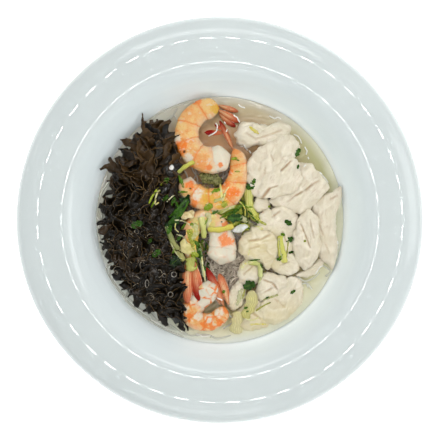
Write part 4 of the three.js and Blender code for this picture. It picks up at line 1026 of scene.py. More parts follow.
for number, prawn in PRAWNS.items():
    form = prawn_body(prawn["path"], prawn["halves"], prawn["thickness"], prawn["back"])
    flesh = prawn_finish(number, prawn["white"], prawn["orange"], prawn["net"], prawn["patches"])
    body = ball(f"peeled_prawn_{number}", PRAWN_STEPS, PRAWN_RINGS, form)
    dressed.append(seat(body, flesh, "prawn", f"prawn_{number}"))
    for count, (root, tip, half, dark) in enumerate(prawn["blades"], 1):
        name = f"prawn_{number}_tail_blade_{count}"
        blade = ball(name, 48, 32, tail_blade(root, tip, half))
        dressed.append(seat(blade, blade_finish(name, dark), "prawn", f"prawn_{number}"))

# ---- Leek ----------------------------------------------------------------------------------------
# Leek, cut lengthwise into strips and laid over the prawns, yellow green with fine pale ribs. A bed of
# finer, paler shreds lies between the two middle prawns.
LEEK_THICKNESS = 0.9
# Per strip: its path, the width at each end, the hollow it keeps from the stalk, and its two colours.
LEEK = {
    1: ([(19.6, 23.6, 39), (19.6, 10, 38.6), (24.6, 0, 41.6)], (9, 5), 2.6, tint(190, 190, 100),
        tint(166, 168, 14)),
    2: ([(-35.6, -4, 46.4), (-31.5, -13.5, 47), (-24, -27, 45.6)], (3, 4.4), 0.9, tint(60, 84, 18),
        tint(140, 134, 44)),
    3: ([(-27.6, 31.4, 46), (-23, 35.4, 46.4), (-17, 38.6, 47)], (2.4, 2.8), 0.6, tint(146, 154, 10),
        tint(190, 184, 30)),
    4: ([(-8, -6.2, 46.4), (0, -6.4, 47.2), (9, -4, 46.6)], (3.2, 3.8), 0.9, tint(188, 180, 40),
        tint(196, 176, 10)),
    5: ([(40.4, -10.5, 41.4), (41, -20, 41.6), (43.5, -28.4, 41.6)], (4.4, 5), 0.9, tint(176, 178, 30),
        tint(196, 190, 80)),
    6: ([(19, -28.2, 41), (26, -29.8, 41.2), (27, -38, 41)], (3, 3), 0.6, tint(188, 192, 90),
        tint(204, 208, 140)),
    7: ([(-12.6, 2, 46.8), (-11, -4, 46.4), (-10.6, -12, 43)], (4.4, 3.2), 0.8, tint(196, 192, 120),
        tint(160, 168, 60)),
    8: ([(-13.6, -19, 42), (-12, -29, 41), (-10.4, -38, 41)], (2.2, 2.2), 0.4, tint(160, 176, 130),
        tint(190, 200, 160)),
    9: ([(-19.8, -25, 45.6), (-19.2, -34, 44.6)], (6.4, 5.4), 0.5, tint(150, 156, 40), tint(186, 186, 80)),
    10: ([(11.2, -61, 39), (11.4, -68.6, 37.8), (11, -76.4, 34.4)], (7.4, 8.4), 0.5, tint(218, 206, 146),
        tint(222, 212, 160)),
    11: ([(22, -47, 41.6), (20.6, -55, 40.4), (17, -66, 38.4)], (7, 8), 0.5, tint(218, 210, 152),
        tint(204, 196, 100)),
}
SHEER_LEEK = {6: 0.75, 9: 0.7, 10: 0.42, 11: 0.42}  # how far a soft strip covers what is under it
RAGGED_LEEK = {9: 0.1, 10: 0.2, 11: 0.2}  # how uneven its edges are
BED_CENTRE, BED_RADII, BED_BASE, BED_TOP = (3, 4), (18, 8), 33, 40.6
# The bed's larger shreds: path, width at each end, and hollow.
BED_SHREDS = [
    ([(-17, 1, 41.4), (-6, 2.6, 42.4), (4, 6.4, 42.2), (14, 9.4, 40.2)], (3, 4.2), 0.8),
    ([(15, 13, 38.4), (16.6, 4, 40), (17.6, -4, 39.6)], (3, 3.6), 0.7),
    ([(6, 1.6, 41.8), (12, -3, 41), (19.6, -5.4, 41)], (4.6, 4), 0.8),
    ([(-6, 6, 41.6), (2, 9.4, 41), (9, 11.6, 40.2)], (3, 2.4), 0.6),
]


def strip(path, widths, hollow, steps=24, ragged=0.0):
    """A strip of leek along a path, as a grid of places: curved across as in the stalk, a little wavy."""
    line = smooth_line(path, steps=steps)
    heading = unit(np.gradient(line, axis=0))
    across = unit(np.stack([-heading[:, 1], heading[:, 0], 0 * heading[:, 0]], axis=1))
    v = np.linspace(-0.5, 0.5, 7)
    share = np.linspace(0, 1, steps)
    width = np.interp(share, [0, 1], widths) * (1 + 0.07 * np.sin(share * 9 + path[0][0])
                                                + 0.1 * np.sin(share * 17 + path[0][1]))
    width *= np.clip(np.minimum(share, 1 - share) * (9 - 14 * ragged) + 0.55 - ragged, 0, 1)
    torn = 1 + ragged * np.sin(share[:, None] * 7 + path[0][0] + 2.2 * np.sign(v)[None])
    torn += ragged * 0.5 * np.sin(share[:, None] * 23 + path[0][1] + 1.7 * np.sign(v)[None])
    grid = line[:, None] + across[:, None] * (v[None] * width[:, None] * torn)[..., None]
    grid[..., 2] -= hollow * (2 * np.abs(v[None])) ** 2
    grid[..., 2] += 0.28 * np.sin(share * 8 + path[0][1])[:, None] * v[None] * 2
    return grid


def leek_finish(name, root_colour, tip_colour, cover):
    """Strip of leek: colour from one end to the other, pale ribs along it, some of it see-through."""
    finish = Finish(name)
    along_it, across_it, own = finish.lay()
    cloud = finish.speckle(3, 3)
    ribs = (across_it * 7 + cloud * 1.2 + own).part()
    colour = finish.mix((along_it + (cloud - 0.5) * 0.7).kept(), root_colour, tip_colour)
    colour = finish.mix(((ribs - 0.5) * (ribs - 0.5) * 4 * 0.6).kept(), colour, tint(220, 220, 168))
    darker = (across_it - 0.5).size().step(0.3, 0.5) * cloud.step(0.4, 0.65)
    finish.dress(
        Base_Color=finish.mix(darker * 0.6, colour, (*(c * 0.55 for c in tip_colour[:3]), 1)),
        Roughness=0.22 + 0.2 * cloud,
        Specular_IOR_Level=0.5,
        Normal=finish.bump(ribs, 0.2),
        Alpha=cover + (1 - cover) * (ribs * cloud),
        Subsurface_Weight=0.2,
        Subsurface_Radius=(0.6, 0.8, 0.3),
        Subsurface_Scale=0.001,
    )
    return finish


for number, (path, widths, hollow, root_colour, tip_colour) in LEEK.items():
    name = f"leek_strip_{number}"
    grid = strip(path, widths, hollow, ragged=RAGGED_LEEK.get(number, 0))
    piece = gathered(name, [sheet(grid, LEEK_THICKNESS)])
    finish = leek_finish(name, root_colour, tip_colour, SHEER_LEEK.get(number, 1))
    dressed.append(seat(piece, finish, "leek", f"leek_{number}"))


def bed_core(u, v):
    """The form of the bed under its shreds, for ball()."""
    reach = np.sin(np.pi * v) ** 0.6 * (v > 0) * (v < 1)
    turn = 2 * np.pi * u
    height = BED_BASE + (BED_TOP - 0.6 - BED_BASE) * (1 + np.cos(np.pi * v)) / 2
    return np.stack([BED_CENTRE[0] + reach * BED_RADII[0] * np.cos(turn),
                     BED_CENTRE[1] + reach * BED_RADII[1] * np.sin(turn), height], axis=1)


draw = np.random.default_rng(12)
shreds = [sheet(strip(*row), LEEK_THICKNESS) for row in BED_SHREDS]
for _ in range(46):
    x, y = BED_CENTRE[0] + draw.normal(0, 8.5), BED_CENTRE[1] + draw.normal(0, 3.6)
    heading = draw.normal(0.25, 0.7)
    reach = draw.uniform(4, 9)
    points = []
    for k in (-1, -0.3, 0.4, 1):
        px = x + k * reach * math.cos(heading) + draw.normal(0, 0.5)
        py = y + k * reach * math.sin(heading) + draw.normal(0, 0.8)
        far = math.hypot((px - BED_CENTRE[0]) / BED_RADII[0], (py - BED_CENTRE[1]) / BED_RADII[1])
        points.append((px, py, BED_TOP + 1.4 * draw.random() - 4.5 * min(far, 1.1) ** 3))
    shreds.append(sheet(strip(points, (draw.uniform(0.9, 2.4), draw.uniform(0.8, 2)), 0.3), 0.6))
bed_finish = Finish("leek_shreds")
_, across_it, own = bed_finish.lay()
cloud = bed_finish.speckle(3, 3)
pale = bed_finish.mix(own.step(0.2, 0.75), tint(196, 194, 92), tint(134, 144, 20))
bed_finish.dress(
    Base_Color=bed_finish.mix(own.step(0.76, 0.82) * 0.9, pale, tint(36, 62, 8)),
    Roughness=0.24 + 0.2 * cloud,
    Specular_IOR_Level=0.25,
    Normal=bed_finish.bump((across_it * 6).part(), 0.1),
    Alpha=0.86,
)
dressed.append(seat(gathered("leek_shreds", shreds), bed_finish, "leek", "shredded_leek"))
# The bed's core under the shreds is painted dark, as the shade between them.
core_green = mottled("leek_bed_shadow", 4, 3, tint(54, 62, 16), tint(120, 124, 46), Roughness=0.5)
dressed.append(seat(ball("leek_bed", 48, 20, bed_core), core_green, "leek", "shredded_leek"))

# ---- Herb leaves ---------------------------------------------------------------------------------
# Torn leaves of coriander and the dark green of the leek, laid over the prawns and the wood ear. Each is
# a thin wavy leaf with a midrib.
LEAF_THICKNESS = 0.5
# Per leaf: its middle, length and width, turn, slope in x and y, how jagged it is, its darker and its
# lighter colour.
LEAVES = {
    1: ((19.6, -43.6, 41), (8.2, 6.4), 0.3, (0, 0.1), 0.16, tint(26, 56, 4), tint(44, 82, 6)),
    2: ((10, 1.4, 45.4), (10, 5.8), 0.1, (0.02, -0.16), 0.16, tint(20, 52, 8), tint(50, 92, 24)),
    3: ((-6, 27.6, 37), (16, 8.4), -0.3, (0.05, 0.1), 0.22, tint(54, 62, 20), tint(150, 148, 92)),
    4: ((-25, 9.6, 46.6), (17, 6), 0.95, (0, 0), 0.32, tint(6, 20, 2), tint(18, 54, 6)),
    5: ((-29.4, -27.4, 45.6), (8.4, 7), 0.6, (0, 0.05), 0.22, tint(6, 20, 2), tint(20, 50, 6)),
    6: ((-31, -2, 46.6), (11, 5.6), 0.5, (0, 0), 0.32, tint(8, 24, 4), tint(26, 64, 14)),
}


def leaf(centre, size, turn, slope, jag, steps=20):
    """A leaf as a grid of places: widest in its middle, jagged along its edge, wavy."""
    u = np.linspace(0, 1, steps)[:, None]
    v = np.linspace(-0.5, 0.5, 9)[None]
    breadth = 0.3 + 0.7 * np.sin(np.pi * np.clip(u, 0.02, 0.98)) ** 0.8
    jags = np.sin(u * 21 + centre[0]) * np.sign(v) + np.cos(u * 13 + centre[1])
    breadth = breadth * (1 + jag * jags)
    x = (u - 0.5) * size[0] + 0 * v
    y = v * size[1] * breadth
    wave = 0.55 * np.sin(7 * u + turn * 5) * np.cos(3 * v) + 0.45 * np.sin(v * 9 + u * 5)
    wave = wave - 0.3 * np.exp(-(v / 0.05) ** 2)
    px = x * math.cos(turn) - y * math.sin(turn)
    py = x * math.sin(turn) + y * math.cos(turn)
    return np.stack([px, py, wave + slope[0] * px + slope[1] * py], axis=-1) + np.array(centre)


def leaf_finish(name, darker, lighter):
    """Leaf green, lighter along the midrib and mottled."""
    finish = Finish(name)
    across_it = finish.lay()[1]
    cloud = finish.speckle(1.8, 4, 0.65)
    middle = 1 - ((across_it - 0.5) * (across_it - 0.5) * 500).kept()
    green = finish.mix(cloud.step(0.4, 0.62), darker, lighter)
    finish.dress(
        Base_Color=finish.mix(middle * 0.25, green, tint(104, 130, 24)),
        Roughness=0.14 + 0.2 * cloud,
        Specular_IOR_Level=0.4,
        Normal=finish.bump(cloud, 0.5),
    )
    return finish


for number, (centre, size, turn, slope, jag, darker, lighter) in LEAVES.items():
    name = f"herb_leaf_{number}"
    piece = gathered(name, [sheet(leaf(centre, size, turn, slope, jag), LEAF_THICKNESS)])
    dressed.append(seat(piece, leaf_finish(name, darker, lighter), "herb_leaf", f"leaf_{number}"))

# ---- Garlic --------------------------------------------------------------------------------------
# Three chips of cooked garlic, cream with browner patches, that lie on the greens, and a white crumb on
# the wood ear, which also stands as a painted highlight on the wet piece under it. The right chip is white
# and lies between the leek and the chicken.
# Per chip: its middle, its length, width and thickness, its turn, and its paler and browner colour.
GARLIC = {
    1: ((-21, 3.6, 46), (9.2, 5.8, 3.4), 0.25, tint(216, 204, 160), tint(172, 150, 98)),
    2: ((-22.8, -17.6, 46.2), (11, 6.6, 3.4), -1.1, tint(204, 194, 142), tint(180, 170, 104)),
    3: ((13.4, -5.4, 42.8), (10.6, 4.6, 3.2), 0.28, tint(208, 210, 206), tint(184, 184, 168)),
}


def chip(centre, size, turn):
    """The form of a chip, for ball(): a flattened round lump, uneven round its rim."""

    def place(u, v):
        ring = np.sin(np.pi * v)
        angle = 2 * np.pi * u
        plump = 1 + 0.12 * np.cos(angle)
        x, y = np.cos(angle) * ring * size[0] / 2, np.sin(angle) * ring * plump * size[1] / 2
        spot = np.stack([centre[0] + x * math.cos(turn) - y * math.sin(turn),
                         centre[1] + x * math.sin(turn) + y * math.cos(turn),
                         centre[2] + np.cos(np.pi * v) * size[2] / 2], axis=1)
        return spot + unit(spot - np.array(centre)) * (relief(spot, 2.8, 1) * 1.3 * ring)[:, None]

    return place


def garlic_finish(name, paler, browner):
    """Cooked garlic in patches of its two colours."""
    finish = Finish(name)
    cloud = finish.speckle(2.2, 3)
    finish.dress(
        Base_Color=finish.mix(cloud.step(0.35, 0.65), paler, browner),
        Roughness=0.2 + 0.2 * cloud,
        Normal=finish.bump(cloud, 0.3),
        Subsurface_Weight=0.25,
        Subsurface_Radius=(0.8, 0.6, 0.35),
        Subsurface_Scale=0.0012,
    )
    return finish


for number, (centre, size, turn, paler, browner) in GARLIC.items():
    name = f"garlic_chip_{number}"
    piece = ball(name, 40, 24, chip(centre, size, turn))
    dressed.append(seat(piece, garlic_finish(name, paler, browner), "garlic", f"garlic_{number}"))
# The white crumb on the smooth wood ear: partly a crumb, partly a painted highlight.
glint_crumb = ball("garlic_crumb_and_glint", 24, 16, chip((-32, 35, 46.8), (4, 3.4, 2.2), 0.4))
glint_crumb_finish = garlic_finish("garlic_crumb_and_glint", tint(222, 222, 220), tint(196, 192, 186))
dressed.append(seat(glint_crumb, glint_crumb_finish, "garlic", "wood_ear"))

# ---- Chopped greens ------------------------------------------------------------------------------
# Small flakes and threads of herb and leek, some of them yellow, chopped and strewn over everything. Each
# is a thin curled flake or strip that lies on what is under it.
GREENS_THICKNESS = 0.4
LAID_STEPS = 16
RAY_HEIGHT = 0.1  # metres, above all the food
BARE_HEIGHT = 31.6  # taken where nothing is under a place
# Per flake: middle, length, width, turn, and shade from 0, dark green, over 0.5, leaf green, to 1, yellow.
FLAKES = [
    (51.6, 44.8, 7, 3.6, 0.95, 0.15), (52, 35.4, 3, 1.6, 1.3, 0.1), (33, 9, 1.8, 1.6, 0, 0.5),
    (45.6, -1.8, 5.4, 3.4, -0.6, 0.05), (46.6, -13.2, 5.2, 3.6, 0.7, 0.05), (42, -9.6, 3, 2, -0.4, 0.3),
    (47.6, -21.6, 3.6, 1.6, 0.3, 0), (56.5, -14, 1.6, 1.4, 0, 0.5), (48.8, -48, 4, 2, 0.6, 0.1),
    (31, -52.2, 4.6, 1.2, 0.5, 0), (18.4, -61, 1.8, 1, 0.4, 0.1), (19.4, -21.6, 4, 1.1, 1.3, 0.9),
    (20.4, 22.4, 6, 4.6, 0.2, 0.1), (22.6, 25.6, 4, 2.4, 1.2, 0.25), (9.6, 40.9, 4.2, 2, 0.15, 0.5),
    (12, 39.8, 2, 0.9, -0.3, 0.3), (11.6, 32.2, 3.4, 1, 0, 0.7), (-25.6, 25.6, 9, 2.2, -1.2, 0.3),
    (-7.6, 8.6, 6.4, 4.4, 0.5, 0.45), (-2.6, 19.4, 6.4, 3, 0.4, 0.4), (3, 10.4, 4.4, 4, 0.9, 0.62),
    (-4.2, 4.6, 7, 1.8, 0.5, 0.2), (13, -3, 2.4, 2.4, 0.3, 0.3), (9.4, -8.4, 4, 1.6, -0.1, 0.5),
    (-24.6, 18.6, 6.4, 1.4, 0, 0.3), (-9.6, 22.6, 5.4, 3, -0.9, 0.95), (1, 18, 12, 1.6, -1.45, 0.93),
    (22.8, 60, 8, 2.2, -0.65, 0.97), (-2.6, -28.8, 3.8, 2.4, 0.3, 0.45), (2.6, -47.8, 2.4, 2, 0.8, 0.3),
    (-19.6, 20.9, 1.2, 0.9, 0, 0), (1.2, -1.2, 1, 0.9, 0, 0), (-13.6, -10, 2, 1.4, 1, 0.1),
    (-16, -15, 7, 2.4, -0.7, 0.25), (-14.6, -20, 6.6, 3, -1.2, 0.12), (-17, -22.6, 6.4, 3.6, -0.5, 0.55),
    (-12.4, -24.6, 5, 2.6, -1.3, 0.1), (-18.6, -3, 2.4, 2.4, 0.4, 0.4), (-24, -4, 6, 1.6, 0.9, 0.3),
    (-27.6, 3, 8, 3.6, 0.6, 0.18), (-33.4, -6.4, 6, 3, 1.2, 0.2), (-10.6, -31.6, 5, 2, -1.1, 0.15),
    (-8.6, -16, 4, 1.4, -1.4, 0.12), (16.4, 6.6, 1.4, 0.9, 1.2, 0), (20.4, 4.6, 4.6, 1.3, -0.8, 0.1),
    (22.4, 1.2, 4.6, 1.1, -0.7, 0.1), (25, -1.4, 3.2, 1, -0.6, 0.3), (18.6, -5.2, 3.8, 1.1, -0.5, 0.2),
    (9, 5.6, 8, 3, 0.35, 0.22), (12.6, 8.4, 6, 2.4, 0.5, 0.3), (4.4, 3.4, 6, 1.8, 0.5, 0.3),
    (-9, -1, 5.4, 1, 1.1, 0.4), (-35.4, 26.6, 4, 2.6, 0.4, 0.22), (-37, 22.4, 9, 1.6, 0.9, 0.35),
    (-44, 11, 6, 1.4, 1.0, 0.4), (-42, -22, 7, 4, 0.6, 0.06), (-55, -3, 8, 5, 0.3, 0.05),
    (-46.4, -14, 4, 2.6, 1, 0.05), (-35.6, 14.6, 6, 3, 0.7, 0.1), (-31, 12.4, 6, 2.2, 1.2, 0.16),
    (17.4, -58.6, 2.6, 1.4, 0.4, 0.2), (13.2, -50, 9, 2.6, 1.2, 0.84), (16, -49, 8, 1.4, 1.3, 0.76),
    (-5.8, -79, 2.6, 1.3, 0, 0.5), (27.6, -30.6, 3.4, 0.9, -1.1, 0.2), (23.4, -26.7, 7, 0.9, 0.1, 0.2),
    (-30.4, -20.6, 3.4, 1.6, 1, 0.3), (-27, -12, 5, 2, 0.8, 0.2), (40.6, -24.4, 4, 1.2, 0.9, 0.4),
    (39.6, -26, 3.4, 2.6, 0.2, 0.12),
]
# Threads and strips of leek: the shade, the width and the path seen from above.
THREADS = [
    (0.9, 1.1, [(-14, -13.4), (-12.5, -21), (-11.7, -28.6), (-10.6, -34.3), (-9.8, -41.2)]),
    (0.84, 0.8, [(-8.7, -24.8), (-9.5, -28.6), (-8.7, -31.7)]),
    (0.88, 0.9, [(-32.3, -0.5), (-27.3, -0.1), (-21.6, -2), (-18.6, -4.3)]),
    (0.94, 0.7, [(-29.2, -2), (-29.6, -5.8), (-27.3, -8.1)]),
    (0.86, 0.9, [(-28.9, -9.6), (-24.3, -11.1), (-21.6, -15.7)]),
    (0.82, 1.0, [(-32.7, -14.9), (-29.6, -21), (-25.4, -26.4), (-23.9, -28.3)]),
    (0.97, 0.9, [(10.3, 13.2), (13.8, 11.7), (16.4, 8.3), (16.8, 2.6)]),
    (0.78, 1.6, [(0, 4.5), (5, 6.8), (10.7, 9.8)]),
    (0.9, 0.8, [(-8.7, -13), (-11.7, -15.7), (-14.8, -16.5)]),
    (0.75, 1.2, [(-17.8, -18.4), (-16.3, -21), (-16.8, -23)]),
    (0.92, 1.2, [(-43, 10), (-40, 12), (-37.6, 18.6), (-39.4, 20.4), (-42.4, 15), (-43, 10.6)]),
    (0.55, 1.5, [(-47, 11), (-44.6, 16), (-41, 21), (-38, 25)]),
    (0.8, 3.4, [(-5.4, 5.7), (1, 6.6), (6, 8.4), (10.5, 10)]),
    (0.8, 4.4, [(-17, -2), (-16, -8), (-18.6, -12.6)]), (0.66, 4, [(-20.4, -6), (-19, -12), (-18, -18)]),
    (0.85, 4.2, [(-8, 5), (-7.6, -2), (-9, -5)]), (0.86, 3.6, [(14, 1.6), (18, -0.6), (23, -2)]),
    (0.9, 3.0, [(18, -1), (23, -4.4), (29, -5.6)]), (0.7, 2.2, [(24, 3), (27, -1), (31, -3)]),
    (0.92, 0.7, [(6, 22), (3.4, 18), (2.4, 12.6)]), (0.78, 2.4, [(-4, 12.4), (0.6, 14), (4, 18)]),
    (0.88, 0.7, [(-35, 12), (-31, 16), (-26, 17), (-23, 15)]), (0.12, 1.8, [(-30, 14), (-27, 8), (-24, 5)]),
    (0.1, 1.8, [(-34, 2), (-29, 5), (-25, 6)]), (0.3, 1.2, [(-12, -12), (-13, -18), (-12.4, -24)]),
    (0.35, 1.0, [(-16.6, -20), (-15.4, -25.6), (-16.6, -30)]), (0.4, 1.1, [(14, 12), (17, 9), (22, 8.6)]),
    (0.3, 1.2, [(0, 1), (4, 3), (9, 4)]), (0.05, 3.2, [(-31, 3), (-26.6, 8), (-21.5, 14)]),
    (0.12, 2.2, [(-28.4, 1), (-24.6, 6), (-20.6, 12.6)]), (0.02, 2.8, [(-34, -3), (-30, 2), (-28, 7)]),
    (0.1, 2.4, [(-14.6, -13), (-13.6, -19), (-14.4, -25)]),
    (0.05, 2.6, [(-9.6, -13.6), (-9.8, -19), (-8.6, -24.6)]),
    (0.4, 2.4, [(-12, -12), (-11.4, -17), (-10.4, -22)]),
    (0.2, 2.0, [(-16.6, -21), (-14, -26), (-13.6, -31)]),
    (0.04, 2.4, [(-9.8, -24), (-8, -28), (-7.6, -33)]),
    (0.7, 1.6, [(-7.6, -12.4), (-8.4, -17), (-7.6, -21)]),
    (0.5, 1.6, [(-19, -23), (-16, -27.6), (-15.6, -33)]),
    (0.83, 2.6, [(27, -29), (30, -33), (27.6, -38), (26, -43)]),
    (0.9, 1.8, [(14, -33), (17, -29.4), (22, -28)]), (0.84, 2.4, [(13, -47), (13.6, -52), (11, -57)]),
    (0.7, 1.2, [(24, -61), (28, -58), (34, -55)]), (0.8, 1.8, [(29, -53), (34, -51.6), (39, -50)]),
    (0.95, 1.2, [(20, -70), (26, -69.6), (31, -70)]), (0.9, 1.0, [(17, -66), (22, -67), (26, -65)]),
    (0.72, 1.0, [(45.6, -14), (45, -20), (44.4, -25)]), (0.8, 1.0, [(39.4, -12), (40, -19), (41.6, -26)]),
]


def tree_of(pieces):
    """One search tree over all faces of the pieces."""
    corners, faces, start = [], [], 0
    for piece in pieces:
        mesh = piece.data
        corners += [vertex.co for vertex in mesh.vertices]
        faces += [[start + i for i in face.vertices] for face in mesh.polygons]
        start += len(mesh.vertices)
    return BVHTree.FromPolygons(corners, faces)


def top_at(tree, x, y):
    """The highest surface over a place, in millimetres."""
    hit = tree.ray_cast(Vector((x * MM, y * MM, RAY_HEIGHT)), Vector((0, 0, -1)))[0]
    return hit.z / MM if hit else BARE_HEIGHT


def laid_strip(path, width):
    """A narrow strip along a path seen from above. It bridges the hollows of what is under it."""
    line = smooth_line(path, steps=LAID_STEPS)
    tops = np.array([top_at(under, x, y) for x, y, _ in line])
    tops = np.maximum(tops, np.convolve(np.pad(tops, 2, mode="edge"), np.ones(5) / 5, mode="valid"))
    line[:, 2] = np.convolve(np.pad(tops, 1, mode="edge"), [0.25, 0.5, 0.25], mode="valid") + 0.3
    return strip(line[::3], (width, width * 0.8), 0.3, steps=LAID_STEPS)


# The wood ear, prawns, chicken and greens that something can lie on.
under = tree_of([*dressed, heap])
bits, shades = [], []
for x, y, length, width, turn, shade in FLAKES:
    grid = leaf((x, y, 0), (length, width), turn, (0, 0), 0.2, steps=9)
    grid[..., 2] *= min(width, 3) / 4
    tops = [top_at(under, px, py) for px, py in grid[..., :2].reshape(-1, 2)]
    tops = np.array(tops).reshape(grid.shape[:2])
    level = np.median(tops)
    grid[..., 2] += np.clip(tops, level - 1.2, level + 1.2) * 0.6 + level * 0.4 + 0.35
    bits.append(sheet(grid, GREENS_THICKNESS))
    shades.append(shade)
for shade, width, path in THREADS:
    bits.append(sheet(laid_strip(path, width), GREENS_THICKNESS))
    shades.append(shade)
flakes = gathered("chopped_greens", bits, shades)
chopped = Finish("chopped_greens")
own = chopped.lay()[2]
cloud = chopped.speckle(1.6, 3)
stops = [(0.0, tint(22, 52, 4)), (0.3, tint(54, 94, 10)), (0.5, tint(112, 138, 18)),
         (0.75, tint(180, 182, 68)), (0.88, tint(206, 206, 168)), (1.0, tint(202, 184, 60))]
shade = (own * 0.9 + 0.1 + (cloud - 0.5) * 0.3).kept()
sheer = own.step(0.56, 0.66) - own.step(0.86, 0.88)
chopped.dress(
    Base_Color=chopped.add("ShaderNodeValToRGB", {"stops": stops}, {"Fac": shade}),
    Roughness=0.16 + 0.2 * cloud,
    Specular_IOR_Level=0.4,
    Alpha=1 - 0.45 * sheer,
    Normal=chopped.bump(cloud, 0.2),
)
seat(flakes, chopped, "herb_leaf", "chicken_7", "chicken_2", "chicken_13", "shredded_leek")

# ---- Broth ---------------------------------------------------------------------------------------
# Clear, faintly brown stock up to its level in the well, deeper in colour inwards, partly for its depth and
# partly as painted shade among the toppings, and pale at its edge, painted light for the lit glaze under it.
# It climbs a little where it meets a topping. A few bubbles lie on the toppings, and streaks of fine froth
# along them also stand as painted highlights, for the light the broth mirrors where it climbs.
BROTH_LEVEL = 32
BROTH_EDGE = 83.0
BROTH_RINGS, BROTH_STEPS = 104, 400
CLIMB, CLIMB_REACH = 2.0, 2.7  # how high it climbs a topping, and within what distance
EDGE_CLIMB, EDGE_CLIMB_REACH = 0.3, 1.2  # the same, on the well's wall
OPEN_BROTH = 50  # radius inside which toppings cover it
NEAR = 0.02  # metres, within which a topping is looked for
WELL_RADII, WELL_HEIGHTS = [0, 52, 63, 72, BROTH_EDGE], [9.4, 10.1, 13.2, 20, BROTH_LEVEL]
BUBBLE_FILM, FROTH_GLINT_FILM = 0.24, 0.5  # half of their thickness
# Per streak of froth, which also stands as a painted highlight on the climbing broth: its path seen from
# above.
FROTH_AND_GLINTS = [
    [(12, 78), (14.4, 76), (17, 75.4)], [(33, 70.4), (36, 68.4), (39.4, 68.8), (42, 66.6)],
    [(50, 58), (53.4, 55), (55, 51.4)], [(57, 49), (58.6, 46.4), (58, 44)], [(59.4, 42.6), (60, 41)],
    [(66.4, 32), (69.6, 29.4), (73, 25)], [(57.6, 37), (56, 35.4)], [(19.4, 47), (21, 44.8)],
    [(58.4, -43), (59.4, -45.2)], [(64, -36.4), (68, -31), (71, -29)], [(-30, 79), (-36, 76), (-42, 72)],
    [(-16, -76.6), (-10, -78), (-6, -77.4)], [(78.6, -14), (79.4, -21)], [(-76, 30), (-79, 22)],
    [(-40, -70), (-47, -66.4)], [(-13, 57), (-8, 56.4), (-3.6, 58.6), (-1.6, 63), (-4.4, 66.6)],
    [(3, 66), (5, 62.4), (4.4, 59)], [(9, 71), (12.6, 67), (13.6, 63.4)], [(-11.4, 60.6), (-7.4, 62)],
    [(16, 50.4), (18.6, 47)], [(-1.6, -52), (2, -53.4)],
]
# Per bubble: its middle and its two radii.
BUBBLES = [(-30.4, -36.1, 1.7, 1.7), (-32.7, -49.4, 1.6, 1.7), (-48.3, -42.3, 1.2, 2.6),
           (-6, -56.4, 0.5, 0.5)]

toppings = tree_of([*dressed, heap, bpy.data.objects["wood_ear_core"], bpy.data.objects["vermicelli_core"]])


def broth_form(u, v):
    """Upper half of the ball: the level with its climbs. Lower half: down along the well."""
    turn = 2 * np.pi * u
    upper = v <= 0.5
    lower_radius = np.interp(v, [0.5, 0.75, 1], [BROTH_EDGE, 62, 0])
    radius = np.where(upper, BROTH_EDGE * (v * 2) ** 0.62, lower_radius)
    height = np.where(upper, BROTH_LEVEL, np.interp(radius, WELL_RADII, WELL_HEIGHTS))
    x, y = radius * np.cos(turn), radius * np.sin(turn)
    for i in np.flatnonzero(upper & (radius > 8)):
        spot = Vector((x[i] * MM, y[i] * MM, (BROTH_LEVEL + 0.6) * MM))
        near = (toppings.find_nearest(spot, NEAR)[3] or NEAR) / MM
        outer = np.clip((radius[i] - OPEN_BROTH) / 8, 0, 1)
        height[i] += CLIMB * outer * math.exp(-near / CLIMB_REACH)
        height[i] += EDGE_CLIMB * math.exp(-(BROTH_EDGE - radius[i]) / EDGE_CLIMB_REACH)
    height = np.where(upper, height, np.minimum(height, BROTH_LEVEL))
    ripples = np.where(upper, 0.04 * relief(np.c_[x, y, x * 0], 9, 2), 0)
    return np.stack([x, y, height + ripples], axis=1)


broth = ball("clear_broth", BROTH_STEPS, BROTH_RINGS, broth_form)
bpy.ops.object.shade_smooth_by_angle(angle=math.radians(30))
stock = Finish("broth")
down = stock.lay()[2]
x, y, _ = stock.numbers(stock.spot())
far = (x * x + y * y) ** 0.5
cloud = stock.speckle(12, 3)
cloudy = far + (cloud - 0.5) * 0.004
# Browner at the far side, palest at the near side and on the left, and pale towards the edge as painted
# light.
browner = (y - x * 0.6 + (cloud - 0.5) * 0.02).step(0.012, 0.05)
middle_tone = stock.mix(browner, tint(180, 172, 126), tint(164, 138, 102))
deep_and_shaded_tone = stock.mix(browner, tint(150, 126, 88), tint(188, 142, 102))
nearest = (0 - y - x * 0.2).step(-0.02, 0.05)
outer_tone = stock.mix(nearest, tint(177, 174, 130), tint(214, 211, 180))
outer_tone = stock.mix(browner, outer_tone, tint(180, 166, 134))
outer_tone = stock.mix((0 - x).step(0.02, 0.045), outer_tone, tint(204, 208, 198))
# Darker inwards: partly the deeper broth, partly painted shade among the toppings.
tone = stock.mix(far.step(0.045, 0.066), deep_and_shaded_tone, middle_tone)
tone = stock.mix(cloudy.step(0.066, 0.0765), tone, outer_tone)
# Painted light at the edge: the pale of the lit glaze under the thin broth.
edge_painted_light = stock.mix(x.step(0.01, 0.05), tint(211, 215, 206), tint(207, 208, 184))
edge_painted_light = stock.mix(browner, edge_painted_light, tint(196, 193, 178))
stock.dress(
    Base_Color=stock.mix(cloudy.step(0.0765, 0.0825), tone, edge_painted_light),
    Roughness=0.03,
    Alpha=0.94 * (1 - down.step(0.5, 0.505)),
)
seat(broth, stock, "broth", "broth")

